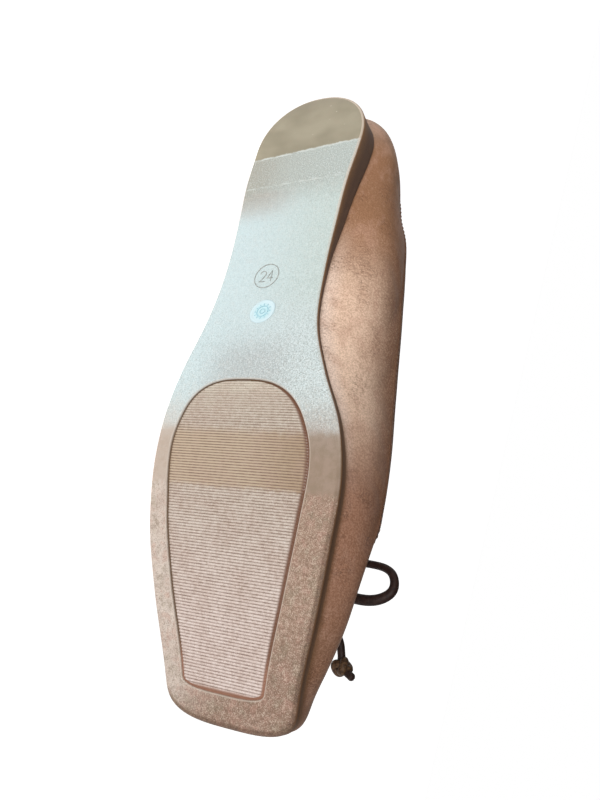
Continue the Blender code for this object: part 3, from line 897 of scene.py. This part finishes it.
def make_bow():
    t = np.linspace(-0.5, 0.5, 61)
    turn = t * KNOT_TURNS * 2.0 * math.pi
    helix = np.column_stack((0.0005 + (KNOT_RADIUS - CORD_RADIUS) * np.cos(turn),
                             t * KNOT_TURNS * KNOT_PITCH,
                             (KNOT_RADIUS - CORD_RADIUS) * np.sin(turn))) + BOW_CENTRE
    core = [BOW_CENTRE + np.array((0.0005, y * 0.0023, 0.0)) for y in (-1, -0.5, 0, 0.5, 1)]
    points, faces = join_parts((tube(helix, CORD_RADIUS * 0.98, 14, (0.0, 1.0, 0.0))[:2],
                                tube(np.array(core), CORD_RADIUS * 1.1, 12)[:2]))
    knot = make_piece("bow_knot_wrap", points, faces, bow_cord)
    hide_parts("bow_knot")

    for label, side in (("inner", -1.0), ("outer", 1.0)):
        for kind, control in (("loop", LOOP_POINTS), ("end", TAIL_POINTS)):
            path = smooth_path(bow_points(control, side), 10)
            reach = path_run(path) / path_run(path)[-1]
            thick = 1.0 + LOOP_SWELL * bump(reach, 0.66, 0.30) if kind == "loop" else 1.0
            points, faces, along = tube(path, CORD_RADIUS * thick, 16)
            name = f"bow_{kind}_{label}"
            cord = make_piece(f"{name}_cord", points, faces, bow_cord,
                              {"along": along})
            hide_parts(name)
            with_pieces = [knot] if name == "bow_loop_inner" else []
            if kind == "end":
                with_pieces = [end_knot(label, path)]


make_bow()


# Sole

EDGE_ROUND = 0.0011
TOP_ROUND = 0.0004
VERGE = 0.0014
WALL_HOLLOW = 0.00012
RIB_COUNT = 106
RIB_STEPS = 5
RIB_HEIGHT = 0.00034
PANEL_DEPTH = 0.0007
GROOVE_DEPTH = 0.00080
GROOVE_WIDTH = 0.00105
RIM_ROUND = 0.00035
GRID_STEP = 0.0026


def inside(points, loop):
    """Which points lie inside a closed plan loop."""
    x, y = points[:, 0][:, None], points[:, 1][:, None]
    x0, y0 = loop[:, 0][None, :], loop[:, 1][None, :]
    x1, y1 = np.roll(loop[:, 0], -1)[None, :], np.roll(loop[:, 1], -1)[None, :]
    crosses = (y0 > y) != (y1 > y)
    with np.errstate(divide="ignore", invalid="ignore"):
        at = x0 + (y - y0) / (y1 - y0) * (x1 - x0)
    return np.sum(crosses & (x < at), axis=1) % 2 == 1


def far_from(points, loop, distance):
    gap = np.full(len(points), 1e9)
    for p in loop:
        gap = np.minimum(gap, np.hypot(points[:, 0] - p[0], points[:, 1] - p[1]))
    return gap > distance


def panel_floor():
    """Ribbed floor of the forefoot panel as a grid of lines straight across the sole."""
    panel = outline(PANEL, PANEL_START, PANEL_END, PANEL_REAR_END, PANEL_TOE_END, PANEL_STATIONS)
    rim = panel - plan_normals(panel) * GROOVE_WIDTH
    half = len(rim) // 2
    outer = rim[:half + 1]
    inner = np.concatenate((rim[half:], rim[:1]))[::-1]
    start, end = rim[0, 0] + 0.00004, rim[half, 0] - 0.00004
    columns = RIB_COUNT * RIB_STEPS + 1
    x = np.linspace(start, end, columns)
    y_outer = np.interp(x, outer[:, 0], outer[:, 1])
    y_inner = np.interp(x, inner[:, 0], inner[:, 1])
    across = np.array((0.0, 0.018, 0.12, 0.25, 0.38, 0.5, 0.62, 0.75, 0.88, 0.972, 1.0))
    y = y_outer[:, None] * (1.0 - across) + y_inner[:, None] * across
    phase = (np.arange(columns) % RIB_STEPS) / RIB_STEPS
    crest = (0.5 - 0.5 * np.cos(2.0 * math.pi * phase)) ** 0.75
    return x, y, crest


class MarkedShape:
    """Points that carry a few values each, and the faces between them."""

    def __init__(self, labels):
        self.points, self.faces = [], []
        self.marks = {label: [] for label in labels}

    def add(self, points, **values):
        """Takes points in with their values, zero where none is given, and numbers them."""
        start = len(self.points)
        self.points += list(points)
        for label, column in self.marks.items():
            column += list(np.broadcast_to(values.get(label, 0.0), len(points)))
        return list(range(start, len(self.points)))


# Groove round the panel's floor, from the floor outwards. Columns: share of the groove's width,
# depth, dirt with painted shade, and pale bead with painted highlight
GROOVE_STEPS = (
    (0.30, GROOVE_DEPTH, 0.90, 0.00),
    (0.56, GROOVE_DEPTH, 1.00, 0.00),
    (0.74, GROOVE_DEPTH * 0.55, 0.45, 0.30),
    (0.90, RIM_ROUND * 0.45, 0.00, 0.95),
    (1.04, 0.0, 0.00, 1.00),
    (1.40, 0.0, 0.00, 0.00),
)


def make_outsole():
    edge = outline(SOLE, 0.0, LENGTH, HEEL_END, TOE_END, SOLE_STATIONS)
    count = len(edge)
    rings, wall = [ring(edge, EDGE_ROUND + VERGE, underside)], [0.0]
    for k in range(7):
        angle = math.radians(90.0 * k / 6.0)
        rings.append(ring(edge, EDGE_ROUND * (1.0 - math.sin(angle)),
                          lambda x: underside(x) + EDGE_ROUND * (1.0 - math.cos(angle))))
        wall.append(max(0.0, (k - 2.6) / 3.4))
    base, top = rings[-1][:, 2], sole_top(edge[:, 0])
    for share in (0.15, 0.35, 0.6, 0.85, 1.0):
        level = ring(edge, WALL_HOLLOW * 4.0 * share * (1.0 - share), underside)
        level[:, 2] = base + (top - TOP_ROUND - base) * share
        rings.append(level)
        wall.append(1.0 + share)
    rings.append(ring(edge, TOP_ROUND * 0.3, lambda x: sole_top(x) - TOP_ROUND * 0.3))
    rings.append(ring(edge, TOP_ROUND, sole_top))
    wall += [2.0, 2.0]
    shape = MarkedShape(("wall", "verge", "rib", "panel", "groove", "bead"))
    shape.add(np.concatenate(rings), wall=np.repeat(wall, count),
              verge=[0.0] * count + [1.0] * (len(rings) - 1) * count)
    shape.faces += bridge(len(rings), count) + strips((len(rings) - 1) * count, count)

    # Ribbed floor
    x, y, crest = panel_floor()
    columns, rows = y.shape
    height = underside(x) + (PANEL_DEPTH - RIB_HEIGHT * crest)
    # Dirt and painted shade on the floor's rows next to the groove, at the sides and the toe end
    toe_dirt_and_shade = ease(x, x[-1] - 0.0012, x[-1] - 0.0003) * 0.6
    side_dirt_and_shade = np.array([0.25] + [0.0] * (rows - 2) + [0.85])
    numbers = shape.add(np.column_stack((np.repeat(x, rows), y.ravel(), np.repeat(height, rows))),
                        rib=np.repeat(crest, rows), panel=1.0,
                        groove=np.maximum(toe_dirt_and_shade[:, None], side_dirt_and_shade).ravel())
    grid = np.array(numbers).reshape(columns, rows)
    quads = np.stack((grid[:-1, :-1], grid[1:, :-1], grid[1:, 1:], grid[:-1, 1:]), axis=-1)
    shape.faces += quads.reshape(-1, 4).tolist()

    # Groove round the floor, up to the rounded rim
    before = np.concatenate((grid[:, 0], grid[-1, 1:-1], grid[::-1, -1], grid[0, -2:0:-1])).tolist()
    loop = np.array([shape.points[i][:2] for i in before])
    smooth = loop.copy()
    for _ in range(6):
        smooth = 0.5 * smooth + 0.25 * (np.roll(smooth, 1, axis=0) + np.roll(smooth, -1, axis=0))
    outward = plan_normals(smooth)
    if np.sum(outward[:, 0] * (loop[:, 0] - loop[:, 0].mean())) < 0.0:
        outward = -outward
    for share, depth, dark, pale in GROOVE_STEPS:
        rim = loop + outward * GROOVE_WIDTH * share
        now = shape.add(np.column_stack((rim, underside(rim[:, 0]) + depth)),
                        rib=1.0, groove=dark, bead=pale)
        shape.faces += zip(before, before[1:] + before[:1], now[1:] + now[:1], now)
        before = now

    # Tread surface between the sole's edge and the panel's rim, cut up in millimetres
    tread_edge = rings[0][:, :2]
    spots = []
    for row, gx in enumerate(np.arange(0.0, LENGTH, GRID_STEP * 0.866)):
        shift = GRID_STEP * 0.5 * (row % 2)
        for gy in np.arange(-BALL_WIDTH * 0.7, BALL_WIDTH * 0.7, GRID_STEP):
            spots.append((gx, gy + shift))
    spots = np.array(spots)
    spots = spots[inside(spots, tread_edge) & ~inside(spots, rim)]
    spots = spots[far_from(spots, tread_edge, GRID_STEP * 0.45)]
    spots = spots[far_from(spots, rim[::3], GRID_STEP * 0.45)]
    edges = [(i, (i + 1) % count) for i in range(count)]
    edges += [(count + i, count + (i + 1) % len(rim)) for i in range(len(rim))]
    flat = [Vector(p) * PER_METRE for p in np.concatenate((tread_edge, rim, spots))]
    verts, _, tris, original, _, _ = geometry.delaunay_2d_cdt(flat, edges, [], 0, 1e-7)
    known = list(range(count)) + before
    numbers = []
    for vertex, source in zip(verts, original):
        if source and source[0] < len(known):
            numbers.append(known[source[0]])
        else:
            px, py = vertex[0] / PER_METRE, vertex[1] / PER_METRE
            numbers += shape.add([(px, py, float(underside(px)))])
    middle = (np.array([[verts[i][:] for i in t] for t in tris]) / PER_METRE).mean(axis=1)
    keep = inside(middle, tread_edge) & ~inside(middle, rim)
    shape.faces += [tuple(numbers[i] for i in t) for t, kept in zip(tris, keep) if kept]
    obj = make_piece("outsole_moulded", np.array(shape.points), shape.faces, sole_rubber,
                     shape.marks)
    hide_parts("outsole")


# Marks moulded on the waist: a ring with a size number, and a round badge with plain ticks
SIZE_RING = (0.0820, 0.0091)
SIZE_RING_RADIUS = 0.0057
BADGE = (0.0983, 0.0075)
BADGE_RADIUS = 0.0058
MARK_LEAN = 49.8
MARK_SQUEEZE = 0.853
MARK_RADIUS = 0.00020
DIGIT_HEIGHT = 0.0052
DIGIT_STEP = 0.0036
CIRCLE_TURN = np.radians(np.linspace(0.0, 360.0, 97)[:-1])
CIRCLE = np.column_stack((np.cos(CIRCLE_TURN), np.sin(CIRCLE_TURN)))

# Steps of the badge from its middle outwards: share of its radius, lift above the sole
BADGE_STEPS = (
    (0.02, 0.00016), (0.35, 0.00016), (0.70, 0.00016), (0.80, 0.00017),
    (0.84, 0.00028), (0.93, 0.00028), (1.00, 0.00012), (1.00, -0.00030),
)
BADGE_RINGS = (0.44, 0.20)
BADGE_RING_LIFT = 0.00017
TICK_COUNT = 12
TICK_REACH = (0.54, 0.60, 0.66)
TICK_LIFT = 0.00018
TICK_RADIUS = 0.00016


def oval(points):
    """Plan offsets squeezed across the slanting long axis of the marks."""
    angle = math.radians(MARK_LEAN)
    axis = np.array((math.cos(angle), math.sin(angle)))
    across = np.array((-axis[1], axis[0]))
    points = np.asarray(points, dtype=float)
    return (points @ axis)[:, None] * axis + (points @ across)[:, None] * across * MARK_SQUEEZE


def on_tread(points, lift=0.0):
    """Plan points set on the sole's underside, standing out by a lift."""
    return np.column_stack((points, underside(points[:, 0]) - lift))


def digit_two():
    turn = np.radians(np.arange(165, -41, -12))
    bow = [(0.5 * math.cos(a), 0.72 + 0.28 * math.sin(a)) for a in turn]
    return bow + [(0.22, 0.40), (-0.12, 0.18), (-0.48, 0.0), (-0.1, 0.0), (0.5, 0.0)]


def digit_four():
    stem = [(0.22, -0.02), (0.22, 0.5), (0.22, 1.0)]
    return stem + [(-0.14, 0.64), (-0.5, 0.28), (0.0, 0.28), (0.5, 0.28)]


def closed_bead(centre, radius, thick):
    """A raised ring on the tread."""
    loop = on_tread(np.array(centre) + oval(CIRCLE) * radius)
    outward = np.column_stack((CIRCLE, np.zeros(len(CIRCLE))))
    section = [(math.cos(a), -math.sin(a)) for a in np.radians(np.arange(-30, 211, 30))]
    rows = [loop + outward * thick * sx + np.array((0.0, 0.0, thick * sz)) for sx, sz in section]
    return np.concatenate(rows), bridge(len(rows), len(loop), closed=True)


def stroke(shape, offset):
    """One digit of the size mark as a raised line."""
    places = [(-(v - 0.5) * DIGIT_HEIGHT, -(u * 0.52 * DIGIT_HEIGHT + offset)) for u, v in shape]
    return tube(on_tread(np.array(SIZE_RING) + oval(places)), MARK_RADIUS, 8)[:2]


def make_marks():
    points, faces = join_parts((closed_bead(SIZE_RING, SIZE_RING_RADIUS, MARK_RADIUS),
                                stroke(digit_two(), -DIGIT_STEP * 0.5),
                                stroke(digit_four(), DIGIT_STEP * 0.5)))
    make_piece("size_mark", points, faces, mark_rubber)

    badge = np.array(BADGE)
    rows = [on_tread(badge + oval(CIRCLE) * BADGE_RADIUS * share, lift)
            for share, lift in BADGE_STEPS]
    disc = np.concatenate(rows)
    faces = bridge(len(rows), len(CIRCLE))
    faces.append(tuple(range(len(CIRCLE))))
    faces.append(tuple(range(len(disc) - len(CIRCLE), len(disc))))
    parts = [(disc, faces)]
    for k in range(TICK_COUNT):
        angle = math.radians(360.0 / TICK_COUNT * k)
        heading = oval([(math.cos(angle), math.sin(angle))])[0]
        line = np.array([badge + heading * BADGE_RADIUS * r for r in TICK_REACH])
        parts.append(tube(on_tread(line, TICK_LIFT), TICK_RADIUS, 6)[:2])
    for share in BADGE_RINGS:
        bead, bead_faces = closed_bead(BADGE, BADGE_RADIUS * share, TICK_RADIUS)
        parts.append((bead - np.array((0.0, 0.0, BADGE_RING_LIFT)), bead_faces))
    points, faces = join_parts(parts)
    ticks = np.arange(len(points)) >= len(disc)
    make_piece("sole_badge", points, faces, badge_rubber,
               {"tick": ticks.astype(float)})


def badge_material():
    n = Nodes("badge_rubber")
    place = n.place()
    grain = n.noise(place, 1.6, 3.0)
    away = [n.less(at, centre / MM) for at, centre in zip(n.plan(place), BADGE)]
    reach = n.math("SQRT", n.plus(*(n.times(a, a) for a in away)))
    colour = n.mix(n.ramp(grain, 0.35, 0.65), tone(192, 234, 244), tone(212, 244, 250))
    colour = n.mix(n.ramp(reach, 2.6, 4.4), colour, tone(220, 243, 250))
    colour = n.stain(colour, tone(124, 186, 210), n.value("tick"), 0.5)
    return n.finish(colour, 0.42, n.bump(grain, 0.0001, 0.7))


def mark_material():
    n = Nodes("mark_rubber")
    grain = n.noise(n.place(), 1.2, 3.0)
    # Darker than the sole round them: painted shade of the moulded ring and digits
    colour = n.mix(n.ramp(grain, 0.35, 0.65), tone(150, 152, 147), tone(184, 187, 182))
    return n.finish(colour, 0.5, n.bump(grain, 0.0001, 0.7))


badge_rubber = badge_material()
mark_rubber = mark_material()

# Upper

SHELL = 0.0012
LINING_GAP = 0.00005
LINING = 0.00045
FOOT_WALL = 0.0022
WALL_ROWS = 58
LINE_SAMPLES = 80

# Soft creases. Columns: side (1 outer, -1 inner), start (mm along the shoe, share of the
# wall height), end (the same), half width and depth in mm
CREASES = (
    (-1, 62.0, 0.30, 78.0, 0.86, 5.0, 0.55),
    (-1, 70.0, 0.92, 98.0, 0.62, 6.0, 0.45),
    (-1, 104.0, 0.95, 126.0, 0.48, 5.5, 0.36),
    (-1, 132.0, 0.30, 150.0, 0.88, 6.0, 0.34),
    (-1, 158.0, 0.24, 168.0, 0.80, 5.0, 0.40),
    (-1, 24.0, 0.35, 34.0, 0.90, 5.0, 0.35),
    (1, 58.0, 0.32, 74.0, 0.84, 5.0, 0.50),
    (1, 84.0, 0.90, 108.0, 0.50, 6.0, 0.45),
    (1, 128.0, 0.34, 146.0, 0.86, 6.0, 0.50),
    (1, 160.0, 0.28, 172.0, 0.78, 5.0, 0.40),
    (1, 26.0, 0.32, 36.0, 0.84, 5.0, 0.30),
)
WALL_SPAN = 46.0


def collar_edge(edge):
    """Points of the collar and throat that answer the points of the sole's outline."""
    x, centre, half = plan_curve(COLLAR, COLLAR_START, THROAT_CENTRE, COLLAR_REAR_END, THROAT_END)
    run = np.concatenate(([0.0], np.cumsum(np.hypot(np.diff(x), np.diff(half)))))
    side = edge[:len(edge) // 2 + 1]
    walked = np.concatenate(([0.0], np.cumsum(np.linalg.norm(np.diff(side, axis=0), axis=1))))
    turn_sole = np.interp(FAN_START, side[:, 0], walked)
    turn_collar = np.interp(FAN_START, x, run)
    at = np.interp(walked, (0.0, turn_sole, walked[-1]), (0.0, turn_collar, run[-1]))
    xs, cs, hs = (np.interp(at, run, v) for v in (x, centre, half))
    full = BALL_WIDTH * COLLAR.read("half", xs / LENGTH)
    across = np.where(xs > THROAT_CENTRE / 2, hs / full, 1.0)
    height = (COUNTER_HEIGHT * COLLAR.read("height", xs / LENGTH)
              + THROAT_RISE * (1.0 - across**2.2))
    outer = np.column_stack((xs, cs + hs, height))
    inner = np.column_stack((xs, cs - hs, height))
    return np.concatenate((outer, inner[-2:0:-1]))


def belly_ring(edge, foot, collar):
    """The widest line of the wall, between its foot and the collar."""
    share = edge[:, 0] / LENGTH
    aside = edge[:, 1] - BALL_WIDTH * SOLE.read("centre", share)
    outer = ease(aside / (BALL_WIDTH * SOLE.read("half", share)), -0.55, 0.55)
    swell = BALL_WIDTH * (outer * BELLY.read("outer", share)
                          + (1.0 - outer) * BELLY.read("inner", share))
    height = foot[:, 2] + BELLY.read("height", share) * (collar[:, 2] - foot[:, 2])
    return np.column_stack((edge + plan_normals(edge) * swell[:, None], height))


def wall_line(foot, belly, collar):
    """Centripetal curve from the foot of the wall over its belly to the collar."""
    d1 = math.sqrt(np.linalg.norm(belly - foot))
    d2 = math.sqrt(np.linalg.norm(collar - belly))
    heading = ((belly - foot) / d1 * d2 + (collar - belly) / d2 * d1) / (d1 + d2)
    pieces = []
    for a, b, before, after in (
        (foot, belly, 1.5 * (belly - foot) - 0.5 * heading * d1, heading * d1),
        (belly, collar, heading * d2, 1.5 * (collar - belly) - 0.5 * heading * d2),
    ):
        t = np.linspace(0.0, 1.0, LINE_SAMPLES)[:, None]
        pieces.append((2 * t**3 - 3 * t**2 + 1) * a + (t**3 - 2 * t**2 + t) * before
                      + (3 * t**2 - 2 * t**3) * b + (t**3 - t**2) * after)
    return np.concatenate((pieces[0], pieces[1][1:]))


def grid_normals(grid):
    around = np.roll(grid, -1, axis=1) - np.roll(grid, 1, axis=1)
    rise = np.gradient(grid, axis=0)
    normal = np.cross(rise, around)
    normal /= np.linalg.norm(normal, axis=2)[:, :, None]
    return -normal if normal[0, grid.shape[1] // 4, 1] < 0.0 else normal


def crease_depth(grid, share):
    """How far the wall is pushed in by the soft creases, with a low ridge beside each."""
    side = np.where(np.arange(grid.shape[1]) <= grid.shape[1] // 2, 1, -1)[None, :]
    u, v = grid[:, :, 0] / MM, share[:, None] * WALL_SPAN
    push = np.zeros(grid.shape[:2])
    for which, x0, s0, x1, s1, width, depth in CREASES:
        a, b = np.array((x0, s0 * WALL_SPAN)), np.array((x1, s1 * WALL_SPAN))
        length = np.linalg.norm(b - a)
        heading = (b - a) / length
        along = (u - a[0]) * heading[0] + (v - a[1]) * heading[1]
        bow = 0.10 * length * (1.0 - (2.0 * along / length - 1.0) ** 2)
        off = -(u - a[0]) * heading[1] + (v - a[1]) * heading[0] - bow
        fade = bump(along, length / 2, length * 0.75)
        shape = bump(off, 0.0, width) - 0.45 * bump(off, width * 1.15, width)
        push += np.where(side == which, depth * fade * shape, 0.0)
    return push * MM


def upper_grid(stations):
    """Outer face of the upper with its creases: rows from the foot to the collar."""
    edge = outline(SOLE, 0.0, LENGTH, HEEL_END, TOE_END, stations)
    foot = ring(edge, SOLE_LEDGE, seat)
    collar = collar_edge(edge)
    belly = belly_ring(edge, foot, collar)
    share = np.linspace(0.0, 1.0, WALL_ROWS)
    grid = np.zeros((WALL_ROWS, len(edge), 3))
    for k in range(len(edge)):
        line = wall_line(foot[k], belly[k], collar[k])
        run = path_run(line)
        for i in range(3):
            grid[:, k, i] = np.interp(share * run[-1], run, line[:, i])
    keep = ease(share, 0.0, 0.18) * (1.0 - ease(share, 0.93, 1.0))
    push = crease_depth(grid, share) * keep[:, None]
    grid = grid - grid_normals(grid) * push[:, :, None]
    return edge, grid, share


def make_upper():
    edge, grid, share = upper_grid(UPPER_STATIONS)
    normal = grid_normals(grid)
    count = len(edge)
    last = WALL_ROWS - 1
    foot_in = ring(edge, SOLE_LEDGE + SHELL, seat)
    inner_rows = list(range(last, 2, -2))
    rings = list(grid) + [grid[r] - normal[r] * SHELL for r in inner_rows] + [foot_in]
    rise = np.concatenate((share, share[inner_rows], (0.0,)))
    shell = make_piece("upper_shell", np.concatenate(rings), bridge(len(rings), count, closed=True),
                       upper_suede, {"rise": np.repeat(rise, count)})
    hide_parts("upper")

    out = SHELL + LINING_GAP
    foot_out = ring(edge, SOLE_LEDGE + out, seat)
    foot_in = ring(edge, SOLE_LEDGE + FOOT_WALL, seat)
    rows = list(range(last - 1, 2, -2))
    rings = [foot_out] + [grid[r] - normal[r] * out for r in rows[::-1]]
    rings += [grid[r] - normal[r] * (out + LINING) for r in rows] + [foot_in]
    make_piece("upper_lining", np.concatenate(rings), bridge(len(rings), count, closed=True),
               lining_cloth)

    make_binding(grid, normal)


# Section of the folded topline. Columns: out from the wall, down from its edge, in millimetres
BINDING = (
    (0.02, 3.35), (0.22, 3.25), (0.34, 2.85), (0.38, 2.0), (0.36, 1.1), (0.24, 0.35), (0.02, -0.10),
    (-0.25, -0.38), (-0.85, -0.48), (-1.45, -0.38), (-1.88, -0.10), (-2.10, 0.40), (-2.18, 1.2),
    (-2.16, 2.2), (-2.05, 2.85), (-1.90, 3.05), (-1.60, 2.9), (-0.9, 2.8), (-0.3, 3.1),
)
STITCH_DROP = 2.55
STITCH_OUT = 0.36
STITCH_STEP = 0.0024
STITCH_LENGTH = 0.0016
STITCH_RADIUS = 0.00022
STITCH_DIPS = np.array((-0.00022, 0.00002, 0.00002, -0.00022))


def stitch_row(line, shares, out=None):
    """Stitches along a closed line, which sink in at their ends where an outward side is given."""
    closed = np.concatenate((line, line[:1]))
    run = path_run(closed)
    total = int(run[-1] / STITCH_STEP)
    parts = []
    for k in range(total):
        at = (k + 0.5) * run[-1] / total
        bead = np.array([[np.interp(at + s * STITCH_LENGTH, run, closed[:, i]) for i in range(3)]
                         for s in shares])
        side = (0.0, 0.0, 1.0)
        if out is not None:
            side = out[int(np.searchsorted(run, at)) % len(line)]
            bead += side * STITCH_DIPS[:, None]
        parts.append(tube(bead, STITCH_RADIUS, 6, side)[:2])
    return join_parts(parts)


def make_binding(grid, normal):
    edge = grid[-1]
    count = len(edge)
    down = grid[-5] - grid[-1]
    down /= np.linalg.norm(down, axis=1)[:, None]
    out = normal[-3]
    rings = [edge + out * o * MM + down * d * MM for o, d in BINDING]
    make_piece("topline_binding", np.concatenate(rings), bridge(len(rings), count, closed=True),
               topline_suede, {"rise": np.ones(len(rings) * count)})

    line = edge + out * STITCH_OUT * MM + down * STITCH_DROP * MM
    points, faces = stitch_row(line, (-0.5, -0.2, 0.2, 0.5), out)
    make_piece("topline_stitches", points, faces, thread)


# Insole: a board with a soft sock glued on top

INSOLE_THICKNESS = 0.0025
INSOLE_GAP = 0.0004


def make_insole():
    edge = outline(SOLE, 0.0, LENGTH, HEEL_END, TOE_END, UPPER_STATIONS)
    count = len(edge)
    inset = SOLE_LEDGE + FOOT_WALL + INSOLE_GAP

    def level(extra, height):
        return ring(edge, inset + extra, lambda x: seat(x) + height)

    rings = [level(0.0, 0.0), level(0.0, INSOLE_THICKNESS - 0.0007),
             level(0.0001, INSOLE_THICKNESS - 0.0003), level(0.0005, INSOLE_THICKNESS),
             level(0.0016, INSOLE_THICKNESS + 0.0001), level(0.0022, INSOLE_THICKNESS - 0.0001),
             level(0.0028, INSOLE_THICKNESS + 0.0001), level(0.0045, INSOLE_THICKNESS + 0.0002)]
    faces = bridge(len(rings), count) + strips(0, count) + strips((len(rings) - 1) * count, count)
    sock = make_piece("insole_sock", np.concatenate(rings), faces, insole_cloth)
    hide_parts("insole")

    points, faces = stitch_row(level(0.0022, INSOLE_THICKNESS), (-0.5, 0.0, 0.5))
    make_piece("insole_stitches", points, faces, thread)


make_outsole()
make_marks()
make_upper()
make_insole()


# Floor and light

FLOOR_REACH = 6.0
FLOOR_GREY = 0.80
FLOOR_GLOW = 0.80
SKY_HEIGHT = (0.22, 0.50)
SKY_STRENGTH = (1.0, 0.05)
KEY_TOWARD = (0.16, -0.94, 0.28)
KEY_ANGLE = 25.0
KEY_STRENGTH = 2.5
KEY_COLOUR = (1.0, 0.98, 0.95)
WHITE = (1.0, 1.0, 1.0, 1.0)


def make_floor():
    mesh = bpy.data.meshes.new("floor")
    corners = [(x * FLOOR_REACH, y * FLOOR_REACH, 0.0) for x, y in ((-1, -1), (1, -1), (1, 1), (-1, 1))]
    mesh.from_pydata(corners, [], [(0, 1, 2, 3)])
    n = Nodes("pale_floor")
    n.finish((FLOOR_GREY, FLOOR_GREY, FLOOR_GREY, 1.0), 0.9,
             Emission_Color=WHITE, Emission_Strength=FLOOR_GLOW)
    mesh.materials.append(n.material)
    add_object("floor", mesh)


def make_light():
    """A pale sky that weakens with height, and one broad distant light."""
    world = bpy.data.worlds.new("studio")
    bpy.context.scene.world = world
    world.use_nodes = True
    tree = world.node_tree
    back = tree.nodes["Background"]
    coord = tree.nodes.new("ShaderNodeTexCoord")
    split = tree.nodes.new("ShaderNodeSeparateXYZ")
    ramp = tree.nodes.new("ShaderNodeMapRange")
    for label, number in zip(("From Min", "From Max", "To Min", "To Max"), SKY_HEIGHT + SKY_STRENGTH):
        ramp.inputs[label].default_value = number
    tree.links.new(coord.outputs["Generated"], split.inputs[0])
    tree.links.new(split.outputs["Z"], ramp.inputs["Value"])
    tree.links.new(ramp.outputs["Result"], back.inputs["Strength"])
    back.inputs["Color"].default_value = WHITE
    light = bpy.data.lights.new("key", "SUN")
    light.angle = math.radians(KEY_ANGLE)
    light.energy = KEY_STRENGTH
    light.color = KEY_COLOUR
    obj = add_object("key", light)
    obj.rotation_euler = Vector(KEY_TOWARD).to_track_quat("Z", "Y").to_euler()


make_floor()
make_light()
bpy.context.scene.view_settings.view_transform = "Standard"
